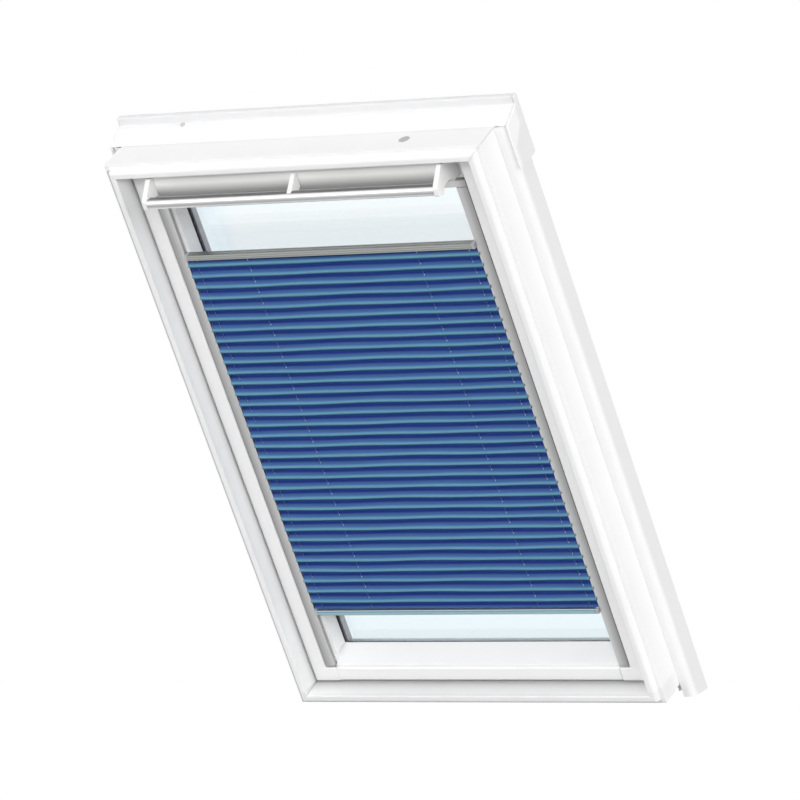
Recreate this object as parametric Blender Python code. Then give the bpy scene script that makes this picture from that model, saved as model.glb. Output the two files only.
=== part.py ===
"""Centre-pivot roof window with a pleated blind, built as separate pieces in Blender 4.5.

Units are metres and +Z is up. The world origin is the middle of the frame sill's outer face.
Every piece hangs on the roof_slope empty, whose own axes are X to the right as seen from the
room, Y from the room towards the sky and Z up the slope, with zero at the middle of the
window on the plane of the frame's room-side lip. Outlines below are written in those axes.
"""
import bmesh
import bpy
from math import atan2, cos, pi, radians, sin, sqrt, tan
from mathutils import Matrix, Vector

PART_NAME = "roof_window_with_pleated_blind"

# Overall
PITCH = radians(55)
FRAME_WIDTH = 0.780
FRAME_HEIGHT = 1.178
FRAME_DEPTH = 0.110
GAP = 0.0003
MITRE_GAP = 0.000225
CUT_PAST = 0.002

# Frame members
FRAME_WALL = 0.030
LINING_STEP = 0.008
LINING_LENGTH = 0.014
LIP_WIDTH = 0.016
LIP_RADIUS = 0.0075
LIP_DEPTH = 0.008
COVER_SEAT = 0.001
COVER_CLEAR = 0.002
MOUNT_DEPTH = 0.055
SEAL_BACK = 0.010
SEAL_THICKNESS = 0.004
SEAL_CLEAR_SIDE = 0.0005
SEAL_CLEAR_END = 0.003
PLUG_X = 0.220
PLUG_DEPTH = 0.052
PLUG_RADIUS = 0.010
PLUG_LENGTH = 0.003
PLUG_SUNK = 0.0002

# Sash
SASH_FACE = 0.034
SASH_STAND = 0.002
SASH_SIDE_GAP = 0.004
SASH_END_GAP = 0.0065
SASH_EDGE = 0.002
STILE_WIDTH = 0.054
REVEAL_EDGE = 0.0015
RAIL_WIDTH = 0.055
RAIL_FACE = 0.027
RAIL_STEP = 0.0058
STEP_DEPTH = 0.004
STEP_EDGE = 0.0015
REVEAL_DEPTH = 0.046
GLASS_SEAT = 0.018
SEAT_PLAY = 0.0015
PANE = 0.004
CAVITY = 0.015
GASKET = 0.0014
GASKET_SHOW_SIDE = 0.0095
GASKET_SHOW_END = 0.0033
SPACER_SHOW = 0.0133
SPACER_SIDE_WIDTH = 0.0105
SPACER_END_WIDTH = 0.0063
EDGE_SEAL_END = 0.002

# Pivot
PIVOT_DEPTH = 0.072
PIN_RADIUS = 0.006
PIN_PLAY = 0.0003
BUSH_WALL = 0.004
BUSH_LENGTH = 0.0117
PLATE_LENGTH = 0.120
PLATE_WIDTH = 0.024
PLATE_THICKNESS = 0.0015

# Outside covers
SHEET = 0.0016
COVER_OUT = 0.020
COVER_LENGTH = 0.051
COVER_FALL = 0.004
COVER_STAND = 0.021
COVER_FOOT = 0.048
HOOD_OUT = 0.031
HOOD_TOP = 0.0135
HOOD_FRONT = 0.016
HOOD_STAND = 0.011
HOOD_LAP = 0.044
HOOD_END = 0.0037
HOOD_END_LENGTH = 0.120
SCREW_X = -0.274
SCREW_UP = 0.0455
SCREW_RADIUS = 0.0045
SCREW_PROUD = 0.0025
APRON_HEM = 0.026
SASH_COVER_IN = 0.008
SASH_COVER_LAP = 0.010
SASH_APRON = 0.0275

# Side channels of the blind
CHANNEL_INSET = 0.0016
CHANNEL_WIDTH = 0.0211
CHANNEL_DEPTH = 0.0097
CHANNEL_WALL = 0.0015
CHANNEL_FOOT = 0.0225
CHANNEL_EDGE = 0.0013
HEAD_STRIP = 0.0148
STRIP_DROP = 0.0005

# Blind
RAIL_HEIGHT = 0.0107
RAIL_DEPTH = 0.0156
RAIL_PLAY = 0.0004
RAIL_EDGE = 0.0012
RIB_WIDTH = 0.0012
RIB_DEPTH = 0.0008
FIRST_RIB = 0.0034
SECOND_RIB = 0.0067
CAP_LENGTH = 0.0059
TONGUE_HEIGHT = 0.008
TONGUE_PLAY = 0.0008
TONGUE_ROOT = 0.002
TOP_GAP = 0.1118
BOTTOM_GAP = 0.1180
PLEAT_DEPTH = 0.014
PLEAT_BACK = 0.0006
FABRIC_PLAY = 0.0008
CORD_RADIUS = 0.0006
CORD_IN = 0.018
CORD_INNER = 0.177
CORD_SLOT = 0.0024

# Control bar and vent flap
HANDLE_INSET = 0.0176
END_BRACKET = 0.013
MIDDLE_BRACKET = 0.009
BRACKET_BACK = 0.050
BRACKET_NOSE = 0.008
BRACKET_SHOULDER = 0.020
ARCH_RISE = 0.007
BAR_FRONT = 0.030
BAR_DEPTH = 0.016
BAR_HEIGHT = 0.0165
BAR_DROP = 0.0195
BAR_ROUND = 0.006
BAR_CHAMFER = 0.003
BAR_BACK_EDGE = 0.002
TIP_LENGTH = 0.0155
TIP_DROP = 0.005
FLAP_THICKNESS = 0.0026
FLAP_FRONT = 0.0130
FLAP_LEAN = 0.035
FLAP_ROUND = 0.010
FLAP_RISE = 0.004
FLAP_TOP_GAP = 0.0037
BEAD_RADIUS = 0.0018
HINGE_SET_BACK = 0.001
CHAMBER_DEPTH = 0.022

# Latch
CLAW_DEPTH = 0.0075
CLAW_RISE = 0.021
LATCH_HALF = 0.017
LATCH_WALL = 0.003
LATCH_FRONT = 0.0065
LATCH_BELOW = 0.013
LATCH_ABOVE = 0.011
LATCH_BACK = 0.0014
CLAW_THICKNESS = 0.008
CLAW_PLAY = 0.001
CLAW_TIP_GAP = 0.0012
TRUNNION_RADIUS = 0.0025
TRUNNION_PLAY = 0.0003
STRIKER_HALF_DEPTH = 0.009
STRIKER_THICKNESS = 0.001

# Barrel bolt
BOLT_X = 0.230
BOLT_RADIUS = 0.004
BOLT_PLAY = 0.0003
BOLT_HOLE_PLAY = 0.001
BOLT_TRAVEL = 0.012
BOLT_BACK = 0.0022
BOLT_TOP_GAP = 0.001
BOLT_CASE_HALF = 0.009
BOLT_CASE_FOOT = 0.004
BOLT_CASE_HEAD = 0.003
KNOB_RADIUS = 0.0024
KNOB_LENGTH = 0.0078
KNOB_RISE = 0.010

# Places that follow from the sizes above
half_width = FRAME_WIDTH / 2
half_height = FRAME_HEIGHT / 2
cover_back = FRAME_DEPTH + COVER_STAND
cover_front = cover_back - COVER_LENGTH
flange_front = cover_front - COVER_FALL
seat_front = flange_front - COVER_CLEAR
hood_back = cover_back + HOOD_STAND
sash_x = half_width - FRAME_WALL - SASH_SIDE_GAP
sash_z = half_height - FRAME_WALL - SASH_END_GAP
sash_back = FRAME_DEPTH + SASH_STAND
glass_x = sash_x - STILE_WIDTH
glass_z = sash_z - RAIL_WIDTH
seat_y = SASH_FACE + REVEAL_DEPTH
channel_in = glass_x + CHANNEL_INSET
channel_out = channel_in + CHANNEL_WIDTH
ledge_y = SASH_FACE + CHANNEL_DEPTH + GAP
channel_top = glass_z - STRIP_DROP * 2
channel_bottom = -glass_z - CHANNEL_FOOT + GAP
rail_face = -sash_z + RAIL_FACE
strip_low = glass_z - STRIP_DROP
strip_top = strip_low + HEAD_STRIP
fabric_x = channel_in - FABRIC_PLAY
rail_back = ledge_y - RAIL_PLAY
rail_front = rail_back - RAIL_DEPTH
cord_y = (rail_front + rail_back) / 2
top_rail_top = channel_top - TOP_GAP
top_rail_z = top_rail_top - RAIL_HEIGHT
bottom_rail_z = channel_bottom + BOTTOM_GAP
pane_y = seat_y + GASKET + 2 * GAP
outer_pane_y = pane_y + PANE + CAVITY
chamber_y = SASH_FACE + CHAMBER_DEPTH
handle_half = channel_out - HANDLE_INSET
hinge_y = SASH_FACE + HINGE_SET_BACK
hinge_z = strip_top + BEAD_RADIUS + GAP
flap_foot_z = hinge_z - FLAP_THICKNESS / 2
flap_bend_z = flap_foot_z + FLAP_RISE
flap_top_z = half_height - LINING_STEP - LIP_WIDTH - FLAP_TOP_GAP
bar_top = sash_z - BAR_DROP
bar_low = bar_top - BAR_HEIGHT
bar_back = BAR_DEPTH - BAR_FRONT
claw_y = chamber_y - CLAW_DEPTH
claw_z = strip_top + CLAW_RISE
bolt_y = chamber_y - BOLT_RADIUS - BOLT_BACK
knob_z = strip_top + KNOB_RISE

MATERIALS = {
    "frame_white": ((0.90, 0.90, 0.91), 0.35, 0.0),
    "cover_grey": ((0.80, 0.80, 0.81), 0.45, 0.0),
    "channel_aluminium": ((0.62, 0.63, 0.63), 0.35, 1.0),
    "bright_aluminium": ((0.86, 0.86, 0.87), 0.22, 1.0),
    "cream_plastic": ((0.86, 0.86, 0.83), 0.40, 0.0),
    "white_plastic": ((0.93, 0.93, 0.93), 0.30, 0.0),
    "grey_plastic": ((0.45, 0.46, 0.47), 0.50, 0.0),
    "glass": ((0.85, 0.93, 0.97), 0.05, 0.0),
    "rubber": ((0.05, 0.05, 0.06), 0.70, 0.0),
    "spacer_metal": ((0.62, 0.64, 0.68), 0.40, 1.0),
    "steel": ((0.60, 0.60, 0.61), 0.30, 1.0),
    "blue_fabric": ((0.10, 0.22, 0.45), 0.80, 0.0),
    "cord_blue": ((0.20, 0.28, 0.45), 0.70, 0.0),
}


def clear_scene():
    """removes what a new file holds"""
    for thing in list(bpy.data.objects):
        bpy.data.objects.remove(thing, do_unlink=True)


def new_collection(name):
    collection = bpy.data.collections.new(name)
    bpy.context.scene.collection.children.link(collection)
    return collection


def make_material(name):
    colour, roughness, metallic = MATERIALS[name]
    material = bpy.data.materials.new(name)
    material.use_nodes = True
    shader = material.node_tree.nodes["Principled BSDF"]
    shader.inputs["Base Color"].default_value = (*colour, 1)
    shader.inputs["Roughness"].default_value = roughness
    shader.inputs["Metallic"].default_value = metallic
    return material


def new_empty(name, location=(0, 0, 0), rotation=(0, 0, 0), parent=None):
    empty = bpy.data.objects.new(name, None)
    empty.location = location
    empty.rotation_euler = rotation
    empty.empty_display_size = 0.05
    empty.parent = parent
    PARTS.objects.link(empty)
    return empty


def rounded(corners, steps=4):
    """outline points for corners given as (a, b) or (a, b, radius)"""
    points = []
    for index, corner in enumerate(corners):
        here = Vector(corner[:2])
        if len(corner) == 2:
            points.append(here)
            continue
        radius = corner[2]
        back = (Vector(corners[index - 1][:2]) - here).normalized()
        ahead = (Vector(corners[(index + 1) % len(corners)][:2]) - here).normalized()
        half = back.angle(ahead) / 2
        centre = here + (back + ahead).normalized() * radius / sin(half)
        start = here + back * radius / tan(half) - centre
        end = here + ahead * radius / tan(half) - centre
        first = atan2(start.y, start.x)
        sweep = (atan2(end.y, end.x) - first + pi) % (2 * pi) - pi
        for step in range(steps + 1):
            angle = first + sweep * step / steps
            points.append(centre + radius * Vector((cos(angle), sin(angle))))
    return points


def mirrored(corners):
    """the same outline on the other side of the window"""
    return [(-corner[0], *corner[1:]) for corner in corners]


def flipped(corners):
    """the same outline at the other end of the window"""
    return [(corner[0], -corner[1], *corner[2:]) for corner in corners]


def rectangle(half_a, half_b):
    return [(-half_a, -half_b), (half_a, -half_b), (half_a, half_b), (-half_a, half_b)]


def outline_mesh(name, loops, thickness):
    """a flat outline, with holes where there is more than one loop, thickened along local Z"""
    curve = bpy.data.curves.new(name, "CURVE")
    curve.dimensions = "2D"
    curve.fill_mode = "BOTH"
    curve.extrude = thickness / 2
    for corners in loops:
        points = rounded(corners)
        spline = curve.splines.new("POLY")
        spline.points.add(len(points) - 1)
        for spot, point in zip(spline.points, points):
            spot.co = (point.x, point.y, 0, 1)
        spline.use_cyclic_u = True
    drawing = bpy.data.objects.new(name + "_drawing", curve)
    PARTS.objects.link(drawing)
    seen = drawing.evaluated_get(bpy.context.evaluated_depsgraph_get())
    mesh = bpy.data.meshes.new_from_object(seen)
    mesh.name = name
    bpy.data.objects.remove(drawing, do_unlink=True)
    weld(mesh)
    return mesh


def weld(mesh):
    """joins the caps of a mesh to its sides and turns its faces outwards"""
    work = bmesh.new()
    work.from_mesh(mesh)
    bmesh.ops.remove_doubles(work, verts=work.verts, dist=0.00001)
    bmesh.ops.recalc_face_normals(work, faces=work.faces)
    work.to_mesh(mesh)
    work.free()


def place(name, mesh, parent, material, location=(0, 0, 0), rotation=(0, 0, 0)):
    """one named piece, at a place given in the axes of its parent"""
    piece = bpy.data.objects.new(name, mesh)
    piece.parent = parent
    piece.location = Vector(location) - AXIS_OF[parent.name]
    piece.rotation_euler = rotation
    if material:
        mesh.materials.clear()
        mesh.materials.append(SURFACES[material])
        PARTS.objects.link(piece)
    else:
        piece.hide_render = True
        piece.display_type = "WIRE"
        CUTTERS.objects.link(piece)
    return piece


def upright(name, loops, low, high, parent, material=None):
    """an outline in X and Y, run up the slope from low to high"""
    mesh = outline_mesh(name, loops, high - low)
    return place(name, mesh, parent, material, (0, 0, (low + high) / 2))


def across(name, loops, left, right, parent, material=None):
    """an outline in Y and Z, run across the window from left to right"""
    mesh = outline_mesh(name, loops, right - left)
    turn = (pi / 2, 0, pi / 2)
    return place(name, mesh, parent, material, ((left + right) / 2, 0, 0), turn)


def flat(name, loops, front, back, parent, material=None):
    """an outline in X and Z, as a sheet or ring from the depth front to the depth back"""
    mesh = outline_mesh(name, loops, back - front)
    return place(name, mesh, parent, material, (0, (front + back) / 2, 0), (pi / 2, 0, 0))


def box(name, low, high, parent, material=None):
    """a block between two opposite corners"""
    size = Vector(high) - Vector(low)
    work = bmesh.new()
    bmesh.ops.create_cube(work, size=1, matrix=Matrix.Diagonal((*size, 1)))
    mesh = bpy.data.meshes.new(name)
    work.to_mesh(mesh)
    work.free()
    return place(name, mesh, parent, material, (Vector(high) + Vector(low)) / 2)


def rod(name, radius, start, end, parent, material=None, sides=32):
    """a round bar between two points"""
    run = Vector(end) - Vector(start)
    work = bmesh.new()
    bmesh.ops.create_cone(
        work, cap_ends=True, segments=sides, radius1=radius, radius2=radius, depth=run.length
    )
    turn = run.to_track_quat("Z", "Y").to_matrix().to_4x4()
    bmesh.ops.transform(work, matrix=turn, verts=work.verts)
    mesh = bpy.data.meshes.new(name)
    work.to_mesh(mesh)
    work.free()
    mesh.shade_smooth()
    mesh.set_sharp_from_angle(angle=radians(40))
    return place(name, mesh, parent, material, (Vector(start) + Vector(end)) / 2)


def shape(piece, tool, operation="DIFFERENCE"):
    """cuts a tool out of a piece, or joins it on"""
    modifier = piece.modifiers.new(operation.lower() + "_" + tool.name, "BOOLEAN")
    modifier.operation = operation
    modifier.object = tool
    modifier.solver = "EXACT"


def mitre(piece, along, across_axis, reach):
    """moves the ends of a bar onto 45 degree planes, a gap short of the frame's corners"""
    for vertex in piece.data.vertices:
        inward = reach[1] - abs(vertex.co[across_axis])
        end = reach[0] - inward - MITRE_GAP
        vertex.co[along] = end if vertex.co[along] > 0 else -end


def member_outline():
    """frame section: distance in from the outer face, then depth from the lip"""
    return [
        (LINING_STEP, 0, LIP_RADIUS),
        (LINING_STEP + LIP_WIDTH, 0, LIP_RADIUS),
        (LINING_STEP + LIP_WIDTH, LIP_DEPTH),
        (FRAME_WALL, SASH_FACE),
        (FRAME_WALL, FRAME_DEPTH),
        (COVER_SEAT, FRAME_DEPTH),
        (COVER_SEAT, seat_front),
        (0, seat_front),
        (0, LINING_LENGTH),
        (LINING_STEP, LINING_LENGTH),
    ]


def build_frame(root):
    """the four mitred members, with the recesses for the pivots and the bolt"""
    side = [(half_width - corner[0], *corner[1:]) for corner in member_outline()]
    end = [(corner[1], half_height - corner[0], *corner[2:]) for corner in member_outline()]
    reach = (half_height, half_width)
    for name, outline, sign in (("right", side, 1), ("left", mirrored(side), -1)):
        jamb = upright("frame_jamb_" + name, [outline], -half_height, half_height, root, "frame_white")
        mitre(jamb, 2, 0, reach)
        mouth = sign * (half_width - FRAME_WALL - CUT_PAST)
        floor = sign * (half_width - FRAME_WALL + PLATE_THICKNESS + 2 * GAP)
        recess = box(
            "pivot_recess_" + name,
            (min(mouth, floor), PIVOT_DEPTH - PLATE_WIDTH / 2 - GAP, -PLATE_LENGTH / 2 - GAP),
            (max(mouth, floor), PIVOT_DEPTH + PLATE_WIDTH / 2 + GAP, PLATE_LENGTH / 2 + GAP), root,
        )
        shape(jamb, recess)
    reach = (half_width, half_height)
    head = across("frame_head", [end], -half_width, half_width, root, "frame_white")
    mitre(head, 2, 1, reach)
    sill = across("frame_sill", [flipped(end)], -half_width, half_width, root, "frame_white")
    mitre(sill, 2, 1, reach)
    hole = rod(
        "bolt_hole", BOLT_RADIUS + BOLT_HOLE_PLAY,
        (BOLT_X, bolt_y, sash_z), (BOLT_X, bolt_y, half_height - FRAME_WALL + BOLT_TRAVEL), root,
    )
    shape(head, hole)
    plug_floor = half_height - PLUG_SUNK - PLUG_LENGTH - GAP
    pocket = rod(
        "plug_pocket", PLUG_RADIUS + GAP, (PLUG_X, PLUG_DEPTH, plug_floor),
        (PLUG_X, PLUG_DEPTH, half_height + CUT_PAST), root, None, 24,
    )
    shape(head, pocket)


def build_frame_fittings(root):
    """pivot plates, striker, weather seal and the small caps on the head"""
    for name, sign in (("right", 1), ("left", -1)):
        inner = half_width - FRAME_WALL
        front = sign * (inner + GAP)
        back = sign * (inner + GAP + PLATE_THICKNESS)
        plate = box(
            "pivot_plate_" + name,
            (min(front, back), PIVOT_DEPTH - PLATE_WIDTH / 2, -PLATE_LENGTH / 2),
            (max(front, back), PIVOT_DEPTH + PLATE_WIDTH / 2, PLATE_LENGTH / 2),
            root, "steel",
        )
        tip = sign * (sash_x - BUSH_LENGTH + GAP)
        root_end = sign * (inner + GAP + PLATE_THICKNESS / 2)
        pin = rod(
            "pivot_pin_shape_" + name, PIN_RADIUS,
            (tip, PIVOT_DEPTH, 0), (root_end, PIVOT_DEPTH, 0), root,
        )
        shape(plate, pin, "UNION")
    inner_x = half_width - FRAME_WALL - GAP
    inner_z = half_height - FRAME_WALL - GAP
    seal = [rectangle(inner_x, inner_z), rectangle(sash_x + SEAL_CLEAR_SIDE, sash_z + SEAL_CLEAR_END)]
    seal_back = FRAME_DEPTH - SEAL_BACK
    flat("frame_seal", seal, seal_back - SEAL_THICKNESS, seal_back, root, "rubber")
    box(
        "striker_plate",
        (-LATCH_HALF, claw_y - STRIKER_HALF_DEPTH, inner_z - STRIKER_THICKNESS),
        (LATCH_HALF, claw_y + STRIKER_HALF_DEPTH, inner_z),
        root, "steel",
    )
    plug_top = half_height - PLUG_SUNK
    rod(
        "head_plug", PLUG_RADIUS, (PLUG_X, PLUG_DEPTH, plug_top - PLUG_LENGTH),
        (PLUG_X, PLUG_DEPTH, plug_top), root, "grey_plastic", 24,
    )


def build_side_covers(root):
    """the painted sheet along each jamb: front flange, side, outside face and inner leg"""
    out = half_width + COVER_OUT
    leg = half_width - FRAME_WALL + GAP
    near = half_width - COVER_SEAT + GAP
    foot = FRAME_DEPTH + GAP
    side = [
        (near, flange_front), (out, cover_front), (out, cover_back), (leg, cover_back), (leg, foot),
        (leg + SHEET, foot), (leg + SHEET, cover_back - SHEET), (out - SHEET, cover_back - SHEET),
        (out - SHEET, cover_front + SHEET), (near, flange_front + SHEET),
    ]
    low = -half_height - COVER_FOOT
    high = half_height - COVER_SEAT
    upright("side_cover_right", [side], low, high, root, "cover_grey")
    upright("side_cover_left", [mirrored(side)], low, high, root, "cover_grey")


def build_top_casing(root):
    """the casing over the head, with a screw in its apron, and its two end pieces

    Its apron slopes back from the head to an upright front, which carries the flat top.
    """
    out = half_width + COVER_OUT
    foot = half_height - COVER_SEAT + GAP
    top = half_height + HOOD_OUT
    brow = hood_back - HOOD_TOP
    knee = top - HOOD_FRONT
    lap = half_height - HOOD_LAP
    rise = (knee - foot) / (brow - cover_front)
    inset = SHEET * sqrt(1 + 1 / rise ** 2)
    hood = [
        (cover_front, foot), (brow, knee), (brow, top), (hood_back, top), (hood_back, lap),
        (cover_back + GAP, lap), (cover_back + GAP, lap + SHEET), (hood_back - SHEET, lap + SHEET),
        (hood_back - SHEET, top - SHEET), (brow + SHEET, top - SHEET),
        (brow + SHEET, knee + (SHEET - inset) * rise), (cover_front + inset, foot),
    ]
    across("top_casing", [hood], -out, out, root, "cover_grey")
    end = [
        (cover_front, top - HOOD_END_LENGTH), (hood_back, top - HOOD_END_LENGTH), (hood_back, top),
        (brow, top), (brow, knee), (cover_front, foot),
    ]
    near = out + GAP
    far = near + HOOD_END
    across("casing_end_right", [end], near, far, root, "cover_grey")
    across("casing_end_left", [end], -far, -near, root, "cover_grey")
    run = Vector((brow - cover_front, knee - foot)).normalized()
    away = Vector((-run.y, run.x))
    low_end = Vector((cover_front, foot)) + run * SCREW_UP + away * GAP
    high_end = low_end + away * SCREW_PROUD
    rod("casing_screw", SCREW_RADIUS, (SCREW_X, *low_end), (SCREW_X, *high_end), root, "steel", 16)


def build_sill_cover(root):
    """the sheet below the sill, hemmed along its foot"""
    front = FRAME_DEPTH + GAP
    top = FRAME_WALL - half_height
    low = -half_height - COVER_FOOT
    apron = [
        (front, top), (front + SHEET, top), (front + SHEET, low), (FRAME_DEPTH - APRON_HEM, low),
        (FRAME_DEPTH - APRON_HEM, low + SHEET), (front, low + SHEET),
    ]
    end = half_width - FRAME_WALL - GAP
    across("sill_cover", [apron], -end, end, root, "cover_grey")


def build_sash_members(sash):
    """stiles with the ledge for the blind's channels, and the two rails"""
    stile = [
        (sash_x, SASH_FACE, SASH_EDGE), (sash_x, sash_back), (glass_x + GLASS_SEAT, sash_back),
        (glass_x + GLASS_SEAT, seat_y), (glass_x, seat_y), (glass_x, SASH_FACE, REVEAL_EDGE),
    ]
    for name, outline, sign in (("right", stile, 1), ("left", mirrored(stile), -1)):
        piece = upright("sash_stile_" + name, [outline], -sash_z, sash_z, sash, "frame_white")
        near = sign * (glass_x - CUT_PAST)
        far = sign * (channel_out + GAP)
        ledge = box(
            "channel_ledge_" + name,
            (min(near, far), SASH_FACE - CUT_PAST, rail_face),
            (max(near, far), ledge_y, sash_z + CUT_PAST), sash,
        )
        shape(piece, ledge)
        chamber = box(
            "flap_chamber_" + name,
            (min(near, far), SASH_FACE - CUT_PAST * 2, strip_top + GAP),
            (max(near, far), chamber_y, sash_z + CUT_PAST * 2), sash,
        )
        shape(piece, chamber)
        bore = rod(
            "bush_bore_" + name, PIN_RADIUS + PIN_PLAY + BUSH_WALL + GAP,
            (sign * (sash_x - BUSH_LENGTH - GAP), PIVOT_DEPTH, 0),
            (sign * (sash_x + CUT_PAST), PIVOT_DEPTH, 0), sash,
        )
        shape(piece, bore)
    bottom = [
        (SASH_FACE, -sash_z, SASH_EDGE), (sash_back, -sash_z), (sash_back, -glass_z - GLASS_SEAT),
        (seat_y, -glass_z - GLASS_SEAT), (seat_y, -glass_z),
        (SASH_FACE + STEP_DEPTH, rail_face + RAIL_STEP, STEP_EDGE), (SASH_FACE + STEP_DEPTH, rail_face),
        (SASH_FACE, rail_face, SASH_EDGE),
    ]
    end = glass_x - GAP
    across("sash_bottom_rail", [bottom], -end, end, sash, "frame_white")
    top = [
        (ledge_y, glass_z), (seat_y, glass_z), (seat_y, glass_z + GLASS_SEAT),
        (sash_back, glass_z + GLASS_SEAT), (sash_back, sash_z), (chamber_y, sash_z, SASH_EDGE),
        (chamber_y, strip_top + GAP), (ledge_y, strip_top + GAP),
    ]
    across("sash_top_rail", [top], -end, end, sash, "frame_white")


def build_glazing(sash):
    """two panes on their spacer and edge seal, on a gasket against the sash"""
    edge_x = glass_x + GLASS_SEAT - SEAT_PLAY
    edge_z = glass_z + GLASS_SEAT - SEAT_PLAY
    flat("inner_pane", [rectangle(edge_x, edge_z)], pane_y, pane_y + PANE, sash, "glass")
    flat("outer_pane", [rectangle(edge_x, edge_z)], outer_pane_y, outer_pane_y + PANE, sash, "glass")
    gasket = [
        rectangle(edge_x, edge_z),
        rectangle(glass_x - GASKET_SHOW_SIDE, glass_z - GASKET_SHOW_END),
    ]
    flat("glazing_gasket", gasket, seat_y + GAP, pane_y - GAP, sash, "rubber")
    front = pane_y + PANE + GAP
    back = outer_pane_y - GAP
    spacer_x = glass_x - SPACER_SHOW + SPACER_SIDE_WIDTH
    spacer_z = edge_z - EDGE_SEAL_END
    spacer = [
        rectangle(spacer_x, spacer_z), rectangle(spacer_x - SPACER_SIDE_WIDTH, spacer_z - SPACER_END_WIDTH)
    ]
    flat("glass_spacer", spacer, front, back, sash, "spacer_metal")
    seal = [rectangle(edge_x, edge_z), rectangle(spacer_x + GAP, spacer_z + GAP)]
    flat("glass_edge_seal", seal, front, back, sash, "rubber")


def build_sash_covers(sash):
    """the sheet covers on the outside of the sash"""
    inner = glass_x + SASH_COVER_IN
    back = sash_back + GAP + SHEET
    glass_back = outer_pane_y + PANE
    side = [
        (sash_x - GAP, sash_back + GAP), (sash_x - GAP, back), (inner, back),
        (inner, glass_back + GAP), (inner + SHEET, glass_back + GAP), (inner + SHEET, sash_back + GAP),
    ]
    for name, outline in (("right", side), ("left", mirrored(side))):
        upright("sash_cover_" + name, [outline], -sash_z, sash_z, sash, "cover_grey")
    over = back + GAP
    end = sash_x - GAP
    top = [
        (over, glass_z + SASH_COVER_LAP), (over + SHEET, glass_z + SASH_COVER_LAP),
        (over + SHEET, sash_z - GAP), (over, sash_z - GAP),
    ]
    across("sash_cover_top", [top], -end, end, sash, "cover_grey")
    foot = -sash_z - SASH_APRON
    hem = FRAME_DEPTH + SHEET + 3 * GAP
    bottom = [
        (over, -glass_z - SASH_COVER_LAP), (over + SHEET, -glass_z - SASH_COVER_LAP), (over + SHEET, foot),
        (hem, foot), (hem, foot + SHEET), (over, foot + SHEET),
    ]
    across("sash_cover_bottom", [bottom], -end, end, sash, "cover_grey")


def build_sash_fittings(sash):
    """pivot bushes, blind channels, and the cases of the latch and the bolt"""
    for name, sign in (("right", 1), ("left", -1)):
        start = (sign * (sash_x - BUSH_LENGTH), PIVOT_DEPTH, 0)
        end = (sign * (sash_x - GAP), PIVOT_DEPTH, 0)
        bush = rod("pivot_bush_" + name, PIN_RADIUS + PIN_PLAY + BUSH_WALL, start, end, sash, "grey_plastic")
        hole = rod(
            "pivot_bush_hole_" + name, PIN_RADIUS + PIN_PLAY,
            (sign * (sash_x - BUSH_LENGTH - CUT_PAST), PIVOT_DEPTH, 0),
            (sign * (sash_x + CUT_PAST), PIVOT_DEPTH, 0), sash,
        )
        shape(bush, hole)
    front = SASH_FACE
    back = SASH_FACE + CHANNEL_DEPTH
    channel = [
        (channel_in, front), (channel_out, front, CHANNEL_EDGE), (channel_out, back),
        (channel_in, back), (channel_in, back - CHANNEL_WALL),
        (channel_out - CHANNEL_WALL, back - CHANNEL_WALL),
        (channel_out - CHANNEL_WALL, front + CHANNEL_WALL), (channel_in, front + CHANNEL_WALL),
    ]
    for name, outline in (("right", channel), ("left", mirrored(channel))):
        upright("side_channel_" + name, [outline], channel_bottom, channel_top, sash, "channel_aluminium")
    strip = [
        (front, strip_low), (back, strip_low), (back, strip_top),
        (front, strip_top, CHANNEL_EDGE),
    ]
    across("channel_head_strip", [strip], -channel_out, channel_out, sash, "channel_aluminium")
    build_latch_case(sash)
    build_bolt_case(sash)


def build_latch_case(sash):
    """a U-shaped case whose two cheeks carry the latch claw"""
    case = box(
        "latch_case",
        (-LATCH_HALF, claw_y - LATCH_FRONT, claw_z - LATCH_BELOW),
        (LATCH_HALF, chamber_y - GAP, claw_z + LATCH_ABOVE),
        sash, "steel",
    )
    inside = LATCH_HALF - LATCH_WALL
    hollow = box(
        "latch_hollow",
        (-inside, claw_y - LATCH_FRONT - CUT_PAST, claw_z - LATCH_BELOW - CUT_PAST),
        (inside, chamber_y - GAP - LATCH_BACK, claw_z + LATCH_ABOVE + CUT_PAST), sash,
    )
    shape(case, hollow)
    end = LATCH_HALF + CUT_PAST
    hole = rod(
        "latch_cheek_holes", TRUNNION_RADIUS + TRUNNION_PLAY, (-end, claw_y, claw_z), (end, claw_y, claw_z),
        sash, None, 20,
    )
    shape(case, hole)


def build_bolt_case(sash):
    """a block with a bore for the barrel bolt and a slot for its knob"""
    low = strip_top + BOLT_CASE_FOOT
    high = sash_z - BOLT_CASE_HEAD
    front = bolt_y - BOLT_RADIUS - BOLT_BACK
    case = box(
        "bolt_case", (BOLT_X - BOLT_CASE_HALF, front, low),
        (BOLT_X + BOLT_CASE_HALF, chamber_y - GAP, high), sash, "grey_plastic",
    )
    bore = rod(
        "bolt_bore", BOLT_RADIUS + BOLT_PLAY, (BOLT_X, bolt_y, low - CUT_PAST),
        (BOLT_X, bolt_y, high + CUT_PAST), sash,
    )
    shape(case, bore)
    reach = KNOB_RADIUS + BOLT_PLAY
    slot = box(
        "knob_slot", (BOLT_X - reach, front - CUT_PAST, knob_z - reach),
        (BOLT_X + reach, bolt_y, knob_z + BOLT_TRAVEL + reach), sash,
    )
    shape(case, slot)


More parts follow.
